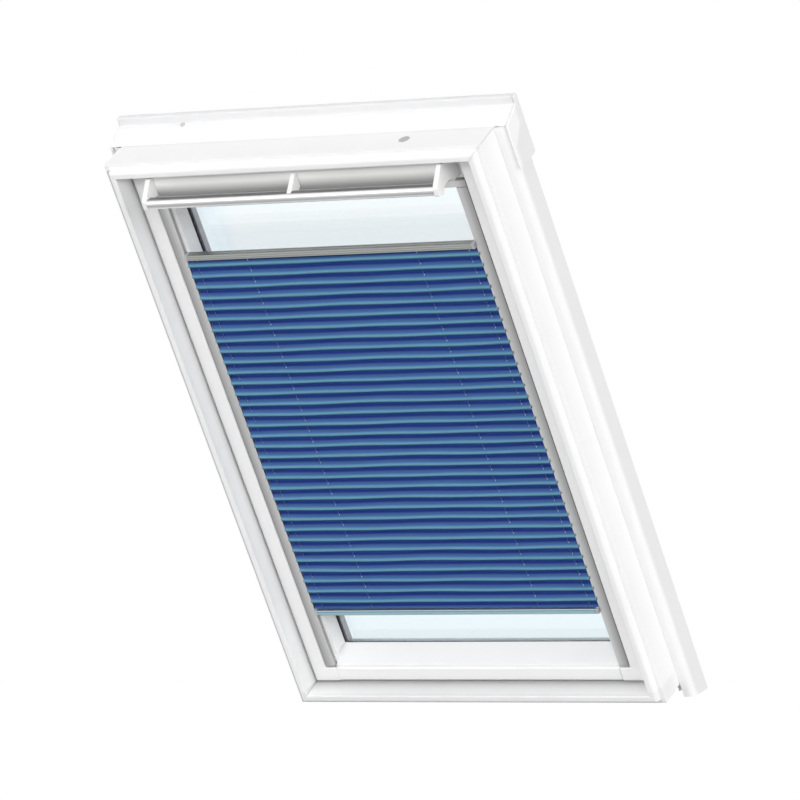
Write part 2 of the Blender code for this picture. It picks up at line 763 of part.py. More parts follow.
def build_bolt(body):
    """the barrel bolt, drawn back, with the knob that slides it up into the head"""
    bolt = rod(
        "barrel_bolt", BOLT_RADIUS, (BOLT_X, bolt_y, strip_top + BOLT_CASE_FOOT / 2),
        (BOLT_X, bolt_y, sash_z - BOLT_TOP_GAP), body, "steel",
    )
    knob = rod(
        "bolt_knob_shape", KNOB_RADIUS, (BOLT_X, bolt_y - KNOB_LENGTH, knob_z), (BOLT_X, bolt_y, knob_z),
        body, None, 16,
    )
    shape(bolt, knob, "UNION")


def build_claw(body):
    """the latch claw: a finger on two trunnions, its nose just clear of the striker"""
    tip = half_height - FRAME_WALL - GAP - STRIKER_THICKNESS - CLAW_TIP_GAP
    half = CLAW_THICKNESS / 2
    knee = claw_z + half * 2
    claw = [
        (claw_y - half, claw_z - half, half / 2), (claw_y + half, claw_z - half, half / 2),
        (claw_y + half, knee - half / 2), (claw_y + half / 4, tip - half, half / 2),
        (claw_y - half / 4, tip, half / 4), (claw_y - half * 5 / 4, tip, half / 4),
        (claw_y - half * 5 / 4, tip - half * 3 / 4, half / 5), (claw_y - half, knee),
    ]
    end = LATCH_HALF - LATCH_WALL - CLAW_PLAY
    piece = across("latch_claw", [claw], -end, end, body, "steel")
    tip_x = LATCH_HALF - CLAW_PLAY / 2
    trunnion = rod(
        "claw_trunnion_shape", TRUNNION_RADIUS, (-tip_x, claw_y, claw_z), (tip_x, claw_y, claw_z),
        body, None, 20,
    )
    shape(piece, trunnion, "UNION")


def flap_front(z):
    """depth of the flap's room-side face at a height above its bend"""
    return FLAP_FRONT + FLAP_LEAN * (z - flap_bend_z)


def build_control_bar(body):
    """the bar between the end brackets"""
    bar = [
        (-BAR_FRONT, bar_low, BAR_ROUND), (bar_back, bar_low, BAR_BACK_EDGE),
        (bar_back, bar_top, BAR_CHAMFER), (BAR_CHAMFER - BAR_FRONT, bar_top, BAR_ROUND),
    ]
    end = handle_half - END_BRACKET - GAP
    across("control_bar", [bar], -end, end, body, "bright_aluminium")


def build_vent_flap(body):
    """the flap between the end brackets, which turns on the bead along its foot"""
    crest = flap_front(flap_top_z)
    flap = [
        (hinge_y, flap_foot_z), (FLAP_FRONT, flap_bend_z, FLAP_ROUND), (crest, flap_top_z),
        (crest + FLAP_THICKNESS, flap_top_z),
        (FLAP_FRONT + FLAP_THICKNESS, flap_bend_z + FLAP_THICKNESS, FLAP_ROUND - FLAP_THICKNESS),
        (hinge_y, flap_foot_z + FLAP_THICKNESS),
    ]
    end = handle_half - END_BRACKET - GAP
    sheet = across("vent_flap", [flap], -end, end, body, "cream_plastic")
    bead_end = end - CUT_PAST
    bead = rod(
        "flap_bead_shape", BEAD_RADIUS, (-bead_end, hinge_y, hinge_z), (bead_end, hinge_y, hinge_z),
        body, None, 16,
    )
    shape(sheet, bead, "UNION")


def build_brackets(body):
    """two deep end brackets with an arch under them, and a slim one in the middle"""
    crown = (BRACKET_NOSE, sash_z + SASH_EDGE, BAR_CHAMFER)
    arch_z = bar_low + ARCH_RISE
    ends = [
        (BRACKET_BACK, flap_foot_z), (BRACKET_BACK, sash_z - SASH_EDGE * 2),
        (BRACKET_SHOULDER, sash_z - SASH_EDGE), crown,
        (-BAR_FRONT, bar_top, BAR_ROUND), (-BAR_FRONT, bar_low, BAR_ROUND / 2),
        (bar_back, bar_low - TIP_DROP, SASH_EDGE), (bar_back + BRACKET_NOSE, arch_z - SASH_EDGE),
        (bar_back + BRACKET_SHOULDER, arch_z), (hinge_y - FLAP_ROUND, arch_z - SASH_EDGE),
        (hinge_y - BEAD_RADIUS * 2, flap_foot_z),
    ]
    inner = handle_half - END_BRACKET
    across("bracket_right", [ends], inner, handle_half, body, "white_plastic")
    across("bracket_left", [ends], -handle_half, -inner, body, "white_plastic")
    seat_low = flap_bend_z + FLAP_ROUND
    seat_high = flap_top_z - FLAP_RISE
    middle = [
        (flap_front(seat_high) - GAP, seat_high), crown, (BAR_ROUND - BAR_FRONT, bar_top + GAP),
        (bar_back + GAP, bar_top + GAP), (bar_back + GAP, bar_low + BAR_CHAMFER),
        (bar_back + BRACKET_SHOULDER, arch_z), (flap_front(seat_low) - GAP, seat_low),
    ]
    half = MIDDLE_BRACKET / 2
    across("bracket_middle", [middle], -half, half, body, "white_plastic")


def rail_outline(low):
    """section of a blind rail: two grooves on its front and two on its top"""
    high = low + RAIL_HEIGHT
    deep = rail_front + RIB_DEPTH
    points = [(rail_front, low, RAIL_EDGE)]
    for z in (low + FIRST_RIB, low + SECOND_RIB):
        points += [(rail_front, z), (deep, z), (deep, z + RIB_WIDTH), (rail_front, z + RIB_WIDTH)]
    points.append((rail_front, high, RAIL_EDGE))
    for y in (rail_front + FIRST_RIB, rail_front + SECOND_RIB + RAIL_DEPTH / 4):
        far = y + RIB_WIDTH
        points += [(y, high), (y, high - RIB_DEPTH), (far, high - RIB_DEPTH), (far, high)]
    points += [(rail_back, high, RAIL_EDGE), (rail_back, low, RAIL_EDGE)]
    return points


def build_rail(name, low, body):
    """a blind rail with the end caps whose tongues run in the side channels"""
    end = fabric_x - CAP_LENGTH
    across(name, [rail_outline(low)], -end, end, body, "bright_aluminium")
    middle_y = SASH_FACE + CHANNEL_DEPTH / 2
    tongue = CHANNEL_DEPTH / 2 - CHANNEL_WALL - TONGUE_PLAY
    middle_z = low + RAIL_HEIGHT / 2
    for side, sign in (("right", 1), ("left", -1)):
        near = sign * (end + GAP)
        far = sign * fabric_x
        cap = box(
            name + "_cap_" + side,
            (min(near, far), rail_front + GAP, low), (max(near, far), rail_back, low + RAIL_HEIGHT),
            body, "grey_plastic",
        )
        inside = sign * (fabric_x - TONGUE_ROOT)
        reach = sign * (channel_out - CHANNEL_WALL - TONGUE_PLAY)
        runner = box(
            name + "_tongue_shape_" + side,
            (min(inside, reach), middle_y - tongue, middle_z - TONGUE_HEIGHT / 2),
            (max(inside, reach), middle_y + tongue, middle_z + TONGUE_HEIGHT / 2), body,
        )
        shape(cap, runner, "UNION")


def cord_places():
    """the four cords, from left to right"""
    outer = fabric_x - CORD_IN
    return [-outer, -CORD_INNER, CORD_INNER, outer]


def build_fabric(body):
    """the room the pleats take, with a slot down its front at each cord, and the cords"""
    back = rail_back - PLEAT_BACK
    front = back - PLEAT_DEPTH
    low = bottom_rail_z + RAIL_HEIGHT + GAP
    high = top_rail_z - GAP
    slot_y = cord_y + CORD_SLOT
    outline = [(-fabric_x, front)]
    for x in cord_places():
        left = x - CORD_SLOT / 2
        right = x + CORD_SLOT / 2
        outline += [(left, front), (left, slot_y), (right, slot_y), (right, front)]
    outline += [(fabric_x, front), (fabric_x, back), (-fabric_x, back)]
    upright("pleated_fabric", [outline], low, high, body, "blue_fabric")
    for number, x in enumerate(cord_places(), start=1):
        cord = bpy.data.curves.new("pleat_cord", "CURVE")
        cord.dimensions = "3D"
        cord.bevel_depth = CORD_RADIUS
        cord.bevel_resolution = 2
        cord.use_fill_caps = True
        spline = cord.splines.new("POLY")
        spline.points.add(1)
        spline.points[0].co = (0, 0, low, 1)
        spline.points[1].co = (0, 0, high, 1)
        drawing = bpy.data.objects.new("pleat_cord_drawing", cord)
        PARTS.objects.link(drawing)
        seen = drawing.evaluated_get(bpy.context.evaluated_depsgraph_get())
        mesh = bpy.data.meshes.new_from_object(seen)
        bpy.data.objects.remove(drawing, do_unlink=True)
        weld(mesh)
        mesh.shade_smooth()
        place("pleat_cord_" + str(number), mesh, body, "cord_blue", (x, cord_y, 0))


clear_scene()
PARTS = new_collection(PART_NAME)
CUTTERS = new_collection("cutters")
SURFACES = {name: make_material(name) for name in MATERIALS}
AXIS_OF = {
    "roof_slope": Vector((0, 0, 0)),
    "sash_axis": Vector((0, PIVOT_DEPTH, 0)),
    "control_bar_axis": Vector((0, hinge_y, hinge_z)),
    "latch_axis": Vector((0, claw_y, claw_z)),
    "bolt_guide": Vector((BOLT_X, bolt_y, 0)),
    "top_rail_guide": Vector((0, cord_y, top_rail_z)),
    "bottom_rail_guide": Vector((0, cord_y, bottom_rail_z)),
}

tilt = pi / 2 - PITCH
turn_to_slope = Matrix.Rotation(tilt, 3, "X")
slope = new_empty(
    "roof_slope", turn_to_slope @ Vector((0, -MOUNT_DEPTH, half_height)), (tilt, 0, 0)
)
sash_axis = new_empty("sash_axis", AXIS_OF["sash_axis"], parent=slope)


def axis_empty(name, parent):
    """an empty on a joint's axis, for the pieces that turn or slide with it"""
    return new_empty(name, AXIS_OF[name] - AXIS_OF[parent.name], parent=parent)


control_axis = axis_empty("control_bar_axis", sash_axis)
claw_axis = axis_empty("latch_axis", sash_axis)
bolt_guide = axis_empty("bolt_guide", sash_axis)
top_guide = axis_empty("top_rail_guide", sash_axis)
bottom_guide = axis_empty("bottom_rail_guide", top_guide)

build_frame(slope)
build_frame_fittings(slope)
build_side_covers(slope)
build_top_casing(slope)
build_sill_cover(slope)
build_sash_members(sash_axis)
build_glazing(sash_axis)
build_sash_covers(sash_axis)
build_sash_fittings(sash_axis)
build_control_bar(control_axis)
build_vent_flap(control_axis)
build_brackets(control_axis)
build_claw(claw_axis)
build_bolt(bolt_guide)
build_rail("blind_top_rail", top_rail_z, top_guide)
build_fabric(top_guide)
build_rail("blind_bottom_rail", bottom_rail_z, bottom_guide)
bpy.context.view_layer.update()
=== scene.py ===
"""Centre-pivot roof window with a pleated blind, dressed for its picture.

Lengths are metres and +Z is up. Pieces are modelled in the slope's own axes: X to the right as
seen from the room, Y from the room towards the sky and Z up the slope, with zero at the middle
of the window on the plane of the frame's room-side nose. Each one is then put on the roof slope.
"""
from math import asin, cos, pi, radians, sin, sqrt, tan
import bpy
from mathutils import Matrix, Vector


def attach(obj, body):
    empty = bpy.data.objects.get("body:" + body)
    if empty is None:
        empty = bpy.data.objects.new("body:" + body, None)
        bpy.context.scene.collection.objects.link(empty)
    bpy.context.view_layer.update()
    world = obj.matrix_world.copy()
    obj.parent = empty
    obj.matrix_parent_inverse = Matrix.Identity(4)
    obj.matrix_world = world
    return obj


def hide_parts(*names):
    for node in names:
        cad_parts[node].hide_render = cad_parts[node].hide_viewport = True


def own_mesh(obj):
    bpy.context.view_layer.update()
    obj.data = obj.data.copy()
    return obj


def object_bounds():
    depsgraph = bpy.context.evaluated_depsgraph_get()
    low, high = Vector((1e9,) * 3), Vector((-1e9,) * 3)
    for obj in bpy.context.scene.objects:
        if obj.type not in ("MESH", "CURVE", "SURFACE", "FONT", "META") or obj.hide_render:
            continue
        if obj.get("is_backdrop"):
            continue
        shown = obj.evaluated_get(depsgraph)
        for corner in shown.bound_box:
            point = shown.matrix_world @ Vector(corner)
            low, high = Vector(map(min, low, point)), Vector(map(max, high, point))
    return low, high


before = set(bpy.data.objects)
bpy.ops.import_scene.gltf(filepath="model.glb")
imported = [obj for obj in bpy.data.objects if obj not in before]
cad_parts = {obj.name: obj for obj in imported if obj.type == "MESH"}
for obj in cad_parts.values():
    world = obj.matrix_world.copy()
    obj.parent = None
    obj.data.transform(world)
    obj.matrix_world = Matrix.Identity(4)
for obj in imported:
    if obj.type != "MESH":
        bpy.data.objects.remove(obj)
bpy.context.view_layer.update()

from types import SimpleNamespace

import bmesh
import bpy
from bpy.props import FloatProperty, FloatVectorProperty, IntProperty, PointerProperty
from bpy.types import Operator, Panel, PropertyGroup
from mathutils import Matrix, Vector

bl_info = {
    "name": "Roof window with a pleated blind",
    "version": (1, 0, 0),
    "blender": (4, 5, 0),
    "location": "View3D > Sidebar > Roof window",
    "description": "Models a roof window, its sash and its pleated blind piece by piece",
    "category": "Object",
}

# The roof slope
PITCH = radians(55)
MOUNT_DEPTH = 0.055
HALF_HEIGHT = 0.589
SLOPE_TURN = pi / 2 - PITCH
SLOPE = Matrix.Rotation(SLOPE_TURN, 4, "X") @ Matrix.Translation((0, -MOUNT_DEPTH, HALF_HEIGHT))

# How a section drawn in its own X and Y is laid on the slope before it is pulled out
UPRIGHT = Matrix.Identity(4)
ACROSS = Matrix(((0, 0, 1, 0), (1, 0, 0, 0), (0, 1, 0, 0), (0, 0, 0, 1)))
FLAT = Matrix.Rotation(pi / 2, 4, "X")

# Clearances between pieces, and how far a tool reaches past what it cuts
GAP = 0.0003
MITRE_GAP = 0.000225
PAST = 0.002

# Places that more than one piece shares
PIVOT_DEPTH = 0.072
PLUG, PLUG_RADIUS = (0.220, 0.052), 0.010
INNER_CORD = 0.177

# The studio: lamps by where they shine from, their strength and how wide they look, in degrees
LAMPS = (
    ("right_lamp", (1.0, -0.10, 0.20), 2.0, 60),
    ("front_lamp", (0.10, -1.0, 0.0), 2.7, 60),
    ("key_lamp", (0.72, -0.70, 0.0), 1.1, 50),
    ("left_lamp", (-0.60, -0.80, 0.0), 0.8, 50),
    ("top_lamp", (0.0, -0.20, 1.0), 0.25, 90),
)
WORLD_LIGHT = 0.2
FLOOR_DROP = 0.40
FLOOR_TONE = 0.75
FLOOR_SHINE = 1.35
FLOOR_GLOW = 0.55
CAMERA_PLACE = (5.59845, -9.6408, 0.0269)
CAMERA_TURN, CAMERA_RISE = 31.0066, -2.6279
CAMERA_LENS = 270.0


def length(label, size, note):
    """a length that a user may change"""
    return FloatProperty(
        name=label, description=note, default=size, min=0.0, unit="LENGTH", precision=5
    )


def colour(label, value, note):
    """a surface colour that a user may change"""
    return FloatVectorProperty(
        name=label, description=note, default=value, min=0.0, max=1.0, size=3, subtype="COLOR"
    )


class WindowSizes(PropertyGroup):
    """The sizes of the window and its blind"""

    frame_width: length("Frame width", 0.780, "Across the flat outer faces of the jambs")
    frame_height: length("Frame height", 1.178, "Along the slope, over the head and the sill")
    frame_depth: length("Frame depth", 0.110, "From the nose to the back of the frame")
    frame_wall: length("Frame wall", 0.030, "From the outer face to the sash's opening")
    nose_width: length("Nose width", 0.016, "Width of the rounded nose that faces the room")
    nose_radius: length("Nose radius", 0.0075, "Rounding of the nose")
    sash_face: length("Sash face", 0.034, "How far the sash sits behind the nose")
    stile_width: length("Stile width", 0.054, "From the edge of the sash to its glass")
    rail_width: length("Rail width", 0.055, "From the end of the sash to its glass")
    sheet: length("Cover sheet", 0.0016, "Thickness of the covers outside")
    pane: length("Pane", 0.004, "Thickness of one pane of glass")
    cavity: length("Cavity", 0.015, "Space between the panes")
    rail_height: length("Blind rail", 0.0107, "Height of the blind's two rails")
    pleats: IntProperty(name="Pleats", description="Folds that face the room", default=33, min=2)
    pleat_depth: length("Pleat depth", 0.0118, "From a fold's crest to its valley")
    first_crest: length("First crest", 0.3610, "Height of the uppermost fold above the middle")
    pleat_pitch: length("Pleat pitch", 0.02293, "From one fold to the next")
    cloth: length("Cloth", 0.0004, "Thickness of the blind's cloth")
    cord: length("Cord", 0.0012, "Diameter of the cords through the pleats")
    cord_hole: length("Cord hole", 0.0014, "Width of the holes that the cords run through")
    crest_reach: length("Crest reach", 0.0026, "How far the crests reach over the right channel")


class WindowColours(PropertyGroup):
    """The colours of the window and its blind"""

    enamel: colour("Frame enamel", (0.93, 0.93, 0.932), "Painted frame and sash")
    cover: colour("Cover paint", (0.82, 0.82, 0.828), "Painted sheet outside")
    channel: colour("Channel", (0.58, 0.58, 0.58), "Anodised side channels")
    bright_metal: colour("Bright metal", (0.86, 0.86, 0.86), "Control bar")
    blind_metal: colour("Blind rails", (0.40, 0.41, 0.395), "Anodised rails of the blind")
    # A painted reflection of the blue cloth, on the lower rail under it
    rail_glow: colour("Rail glow", (0.34, 0.54, 0.62), "Sheen of the lower rail, under the cloth")
    cream: colour("Vent flap", (0.95, 0.95, 0.935), "Moulded vent flap")
    moulding: colour("Brackets", (0.92, 0.92, 0.91), "Moulded brackets of the control bar")
    cap: colour("Small mouldings", (0.45, 0.46, 0.47), "End caps, bushes and the bolt's case")
    rubber: colour("Seals", (0.022, 0.022, 0.025), "Gaskets and seals")
    spacer: colour("Spacer", (0.44, 0.41, 0.44), "Hollow bar between the panes")
    steel: colour("Steel", (0.58, 0.58, 0.59), "Pivots, claw and bolt")
    glass: colour("Glass", (0.955, 0.985, 0.995), "What the panes let through")
    # The cloth is one blue all over; these four colours paint its light and shade: a painted
    # highlight along the crests, the lit side, painted shade in the valleys and the darkest painted
    # shade just above them
    crest: colour("Cloth crest", (0.130, 0.321, 0.438), "Cloth along the crest of each fold")
    face: colour("Cloth face", (0.056, 0.121, 0.304), "Cloth on the lit side of each fold")
    fold: colour("Cloth fold", (0.036, 0.092, 0.340), "Cloth down in the valleys between the folds")
    shade: colour("Cloth shade", (0.020, 0.042, 0.238), "The darkest line, a little above a valley")
    cord: colour("Cord", (0.07, 0.13, 0.32), "Cords through the pleats")


def places(sizes):
    """where everything is on the slope, worked out from the sizes"""
    p = SimpleNamespace()
    # The frame
    p.half_width = sizes.frame_width / 2
    p.half_height = sizes.frame_height / 2
    p.back = sizes.frame_depth
    p.inner_x = p.half_width - sizes.frame_wall
    p.inner_z = p.half_height - sizes.frame_wall
    # The covers outside it, and the groove that the side covers sit in
    p.cover_back = p.back + 0.021
    p.cover_front = p.cover_back - 0.051
    p.flange = p.cover_front - 0.004
    p.seat = p.flange - 0.002
    p.seat_in = 0.001
    p.out = p.half_width + 0.020
    p.hood_back = p.cover_back + 0.011
    p.hood_top = p.half_height + 0.031
    p.brow = p.hood_back - 0.0135
    p.knee = p.hood_top - 0.016
    p.foot = -p.half_height - 0.048
    # The sash and its glass
    p.sash_x = p.inner_x - 0.004
    p.sash_z = p.inner_z - 0.0065
    p.sash_face = sizes.sash_face
    p.sash_back = p.back + 0.002
    p.rail_face = -p.sash_z + 0.027
    p.glass_x = p.sash_x - sizes.stile_width
    p.glass_z = p.sash_z - sizes.rail_width
    p.glass_seat = 0.018
    p.seat_y = p.sash_face + 0.046
    p.edge_x = p.glass_x + p.glass_seat - 0.0015
    p.edge_z = p.glass_z + p.glass_seat - 0.0015
    p.pane_y = p.seat_y + 0.0014 + 2 * GAP
    p.outer_pane_y = p.pane_y + sizes.pane + sizes.cavity
    # The channels that the blind runs in, the strip over their heads and the latch's chamber
    p.channel_in = p.glass_x + 0.0016
    p.channel_out = p.channel_in + 0.0211
    p.channel_back = p.sash_face + 0.0097
    p.ledge = p.channel_back + GAP
    p.slot_front, p.slot_back = p.sash_face + 0.0040, p.sash_face + 0.0057
    p.channel_top = p.glass_z - 0.001
    p.channel_low = -p.glass_z - 0.0225 + GAP
    p.strip_low = p.glass_z - 0.0005
    p.strip_top = p.strip_low + 0.0148
    p.chamber = p.sash_face + 0.022
    # The blind
    p.cloth_x = p.channel_in - 0.0008
    p.rail_back = p.ledge - 0.0004
    p.rail_front = p.rail_back - 0.0156
    p.cord_y = (p.rail_front + p.rail_back) / 2
    p.top_rail = p.channel_top - 0.1118 - sizes.rail_height
    p.bottom_rail = p.channel_low + 0.1180
    p.rail_height = sizes.rail_height
    # The vent flap, its hinge and the control bar
    p.handle = p.channel_out - 0.0176
    p.hinge_y = p.sash_face + 0.001
    p.hinge_z = p.strip_top + 0.0018 + GAP
    p.flap_foot = p.hinge_z - 0.0013
    p.flap_bend = p.flap_foot + 0.004
    p.flap_top = p.half_height - 0.008 - sizes.nose_width - 0.0009
    p.bar_top = p.sash_z - 0.0195
    p.bar_low = p.bar_top - 0.0165
    p.bar_front = -0.030
    p.bar_back = -0.014
    # The barrel bolt
    p.bolt_x = 0.230
    p.bolt_y = p.chamber - 0.0062
    return p


def deselect():
    """object mode, with nothing selected"""
    if bpy.context.mode != "OBJECT":
        bpy.ops.object.mode_set(mode="OBJECT")
    bpy.ops.object.select_all(action="DESELECT")


def pick(piece):
    """only this piece is selected and active"""
    deselect()
    piece.select_set(True)
    bpy.context.view_layer.objects.active = piece


def apply_place(piece):
    """the object's place, turn and size go into its mesh"""
    pick(piece)
    bpy.ops.object.transform_apply(location=True, rotation=True, scale=True)


def choose(piece, kind, test):
    """in edit mode, selects the vertices, edges or faces that pass a test, and nothing else"""
    bpy.ops.mesh.select_mode(type=kind)
    bpy.ops.mesh.select_all(action="DESELECT")
    work = bmesh.from_edit_mesh(piece.data)
    found = {"VERT": work.verts, "EDGE": work.edges, "FACE": work.faces}[kind]
    for item in found:
        if test(item):
            item.select_set(True)
    work.select_flush_mode()
    bmesh.update_edit_mesh(piece.data)


def draw(name, corners, arc=5):
    """an outline drawn corner by corner and filled, rounded where a corner gives a radius"""
    deselect()
    bpy.ops.mesh.primitive_plane_add(size=0.01)
    piece = bpy.context.object
    piece.name = name
    bpy.ops.object.mode_set(mode="EDIT")
    bpy.ops.mesh.select_mode(type="VERT")
    bpy.ops.mesh.select_all(action="SELECT")
    bpy.ops.mesh.merge(type="CENTER")
    spots = [Vector((corner[0], corner[1], 0)) for corner in corners]
    bpy.ops.transform.translate(value=spots[0])
    for here, there in zip(spots, spots[1:]):
        bpy.ops.mesh.extrude_vertices_move(TRANSFORM_OT_translate={"value": there - here})
    bpy.ops.mesh.select_all(action="SELECT")
    bpy.ops.mesh.edge_face_add()
    for index, corner in enumerate(corners):
        if len(corner) < 3:
            continue
        spot = spots[index]
        back = spots[index - 1] - spot
        ahead = spots[(index + 1) % len(spots)] - spot
        reach = corner[2] / tan(back.angle(ahead) / 2)
        choose(piece, "VERT", lambda v: (v.co - spot).length < 0.00001)
        bpy.ops.mesh.bevel(offset=reach, offset_type="OFFSET", segments=arc, affect="VERTICES")
    return piece


def pull_out(piece, low, high, way):
    """in edit mode, pulls a flat outline out from low to high and lays it on the slope"""
    bpy.ops.mesh.select_all(action="SELECT")
    bpy.ops.mesh.extrude_region_move(TRANSFORM_OT_translate={"value": (0, 0, high - low)})
    bpy.ops.mesh.select_all(action="SELECT")
    bpy.ops.mesh.normals_make_consistent(inside=False)
    deselect()
    piece.matrix_world = way @ Matrix.Translation((0, 0, low))
    apply_place(piece)
    return piece


def pulled(name, corners, end, other_end, way, arc=5):
    """a section drawn in its own X and Y and pulled out between two ends"""
    return pull_out(draw(name, corners, arc), min(end, other_end), max(end, other_end), way)


def mirrored(corners):
    """the same outline on the other side"""
    return [(-corner[0], *corner[1:]) for corner in corners]


def block(name, corner, opposite):
    """a block between two opposite corners"""
    deselect()
    low = Vector([min(pair) for pair in zip(corner, opposite)])
    high = Vector([max(pair) for pair in zip(corner, opposite)])
    bpy.ops.mesh.primitive_cube_add(size=1, location=(low + high) / 2, scale=high - low)
    piece = bpy.context.object
    piece.name = name
    apply_place(piece)
    return piece


def rod(name, radius, start, end, sides=48):
    """a round bar between two points"""
    deselect()
    run = Vector(end) - Vector(start)
    bpy.ops.mesh.primitive_cone_add(
        vertices=sides, radius1=radius, radius2=radius, depth=run.length,
        location=(Vector(start) + Vector(end)) / 2, rotation=run.to_track_quat("Z", "Y").to_euler(),
    )
    piece = bpy.context.object
    piece.name = name
    apply_place(piece)
    return piece


def combine(piece, tool, operation):
    """one Boolean step, which uses its tool up"""
    modify(piece, "cut", "BOOLEAN", operation=operation, object=tool, solver="EXACT")
    bpy.data.objects.remove(tool, do_unlink=True)


def cut_out(piece, tool):
    """cuts a tool out of a piece"""
    combine(piece, tool, "DIFFERENCE")


def join_on(piece, part):
    """makes a part one with a piece"""
    combine(piece, part, "UNION")


def score(piece, point, normal, **settings):
    """draws a line round a piece where a plane cuts it"""
    pick(piece)
    bpy.ops.object.mode_set(mode="EDIT")
    bpy.ops.mesh.select_all(action="SELECT")
    bpy.ops.mesh.bisect(plane_co=point, plane_no=normal, **settings)
    deselect()


def saw(piece, point, normal):
    """cuts off what is past a plane, and closes the cut"""
    score(piece, point, normal, use_fill=True, clear_outer=True)


def round_edges(piece, radius, steps, test):
    """rounds the edges that pass a test on their two ends"""
    pick(piece)
    bpy.ops.object.mode_set(mode="EDIT")
    choose(piece, "EDGE", lambda edge: all(test(end.co) for end in edge.verts))
    bpy.ops.mesh.bevel(offset=radius, offset_type="OFFSET", segments=steps, affect="EDGES")
    deselect()


def modify(piece, name, kind, **settings):
    """adds a modifier with its settings and applies it"""
    pick(piece)
    modifier = piece.modifiers.new(name, kind)
    for key, value in settings.items():
        setattr(modifier, key, value)
    bpy.ops.object.modifier_apply(modifier=modifier.name)


def soften(piece, width, steps=2):
    """takes the sharpness off every edge, and leads the smooth shading by the large faces"""
    modify(
        piece, "edges", "BEVEL", width=width, segments=steps, limit_method="ANGLE",
        angle_limit=radians(30), use_clamp_overlap=True,
    )
    bpy.ops.object.shade_smooth_by_angle(angle=radians(40))
    modify(piece, "normals", "WEIGHTED_NORMAL", keep_sharp=True, weight=90)


def ring(name, outer, inner, front, back):
    """a flat rectangular ring: a plane is scored along its opening, whose face is taken out"""
    deselect()
    bpy.ops.mesh.primitive_plane_add(size=2)
    piece = bpy.context.object
    piece.name = name
    piece.scale = (outer[0], outer[1], 1)
    apply_place(piece)
    for sign in (1, -1):
        score(piece, (sign * inner[0], 0, 0), (1, 0, 0))
        score(piece, (0, sign * inner[1], 0), (0, 1, 0))
    bpy.ops.object.mode_set(mode="EDIT")
    choose(piece, "FACE", lambda face: all(
        abs(place) < reach for place, reach in zip(face.calc_center_median(), inner)
    ))
    bpy.ops.mesh.delete(type="FACE")
    return pull_out(piece, -back, -front, FLAT)


def copied(name, node):
    """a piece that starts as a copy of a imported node, its loose triangles merged into faces"""
    piece = bpy.data.objects.new(name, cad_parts[node].data.copy())
    bpy.context.scene.collection.objects.link(piece)
    pick(piece)
    bpy.ops.object.mode_set(mode="EDIT")
    bpy.ops.mesh.select_all(action="SELECT")
    bpy.ops.mesh.remove_doubles(threshold=0.00002)
    bpy.ops.mesh.dissolve_limited(angle_limit=radians(1))
    deselect()
    return piece


def stand_for(piece, body, slot, node, finish=None):
    """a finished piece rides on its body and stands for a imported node"""
    piece.data.materials.clear()
    piece.data.materials.append(finish_of(finish or slot))
    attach(piece, body)
    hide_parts(node)
    return piece


def carry_over(name, node, body, slot, width, steps=2):
    """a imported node's own shape with its edges softened, which stands for that node"""
    piece = copied(name, node)
    soften(piece, width, steps)
    return stand_for(piece, body, slot, node)


def on_slope(piece):
    """puts a piece from the slope's axes onto the roof slope"""
    piece.matrix_world = SLOPE
    apply_place(piece)
    return piece


def settle(piece, body, slot, node, edge=None, steps=2, finish=None):
    """softens a piece's edges, puts it onto the roof slope and sets it on its body"""
    if edge:
        soften(piece, edge, steps)
    return stand_for(on_slope(piece), body, slot, node, finish)


def wired(tree, kind, inputs=(), **settings):
    """one node of a material, with its settings and what its sockets take: a value or a link"""
    node = tree.nodes.new(kind)
    for key, value in settings.items():
        setattr(node, key, value)
    for key, value in dict(inputs).items():
        if isinstance(value, bpy.types.NodeSocket):
            tree.links.new(value, node.inputs[key])
        else:
            node.inputs[key].default_value = value
    return node


def slope_pattern(tree, stretch=(1, 1, 1)):
    """object coordinates turned to run with the slope, and stretched along its axes"""
    where = wired(tree, "ShaderNodeTexCoord").outputs["Object"]
    for inputs in ({"Rotation": (-SLOPE_TURN, 0, 0)}, {"Scale": stretch}):
        where = wired(tree, "ShaderNodeMapping", {"Vector": where, **inputs}).outputs["Vector"]
    return where


def on_the_slope(tree):
    """how far a place is across, behind the roof's own plane and up from the window's foot"""
    return wired(tree, "ShaderNodeSeparateXYZ", {"Vector": slope_pattern(tree)}).outputs


def noise(tree, vector, scale, detail=3.0):
    """a soft random pattern, from 0 to 1"""
    inputs = {"Scale": scale, "Detail": detail, "Vector": vector}
    return wired(tree, "ShaderNodeTexNoise", inputs).outputs["Fac"]


def ranged(tree, value, low, high, start=0.3, end=0.7):
    """a value carried from the range start to end into the range low to high"""
    return wired(tree, "ShaderNodeMapRange", {
        "Value": value, "From Min": start, "From Max": end, "To Min": low, "To Max": high,
    }).outputs["Result"]


def sums(tree, kind, first, second=0.0):
    """one step of arithmetic on two values, either of which may be a plain number"""
    return wired(tree, "ShaderNodeMath", {0: first, 1: second}, operation=kind).outputs["Value"]


def squared(tree, value):
    """a value times itself"""
    return sums(tree, "MULTIPLY", value, value)


def ramped(tree, value, stops):
    """colours strung along a value from 0 to 1"""
    string = wired(tree, "ShaderNodeValToRGB", {"Fac": value})
    marks = string.color_ramp.elements
    while len(marks) < len(stops):
        marks.new(0.5)
    for mark, (place, tint) in zip(marks, stops):
        mark.position = place
        mark.color = tint
    return string.outputs["Color"]


def blended(tree, share, first, second, **settings):
    """two colours mixed by a value; either may be a plain colour"""
    inputs = {"Factor": share, "A": first, "B": second}
    return wired(tree, "ShaderNodeMix", inputs, data_type="RGBA", **settings).outputs["Result"]


def either(tree, share, first, second):
    """one shader or the other, by a share"""
    return wired(tree, "ShaderNodeMixShader", {"Fac": share, 1: first, 2: second}).outputs["Shader"]


def show(tree, kind, surface):
    """makes a shader the one that a material or a world shows"""
    out = [node for node in tree.nodes if node.type == kind][0]
    tree.links.new(surface, out.inputs["Surface"])


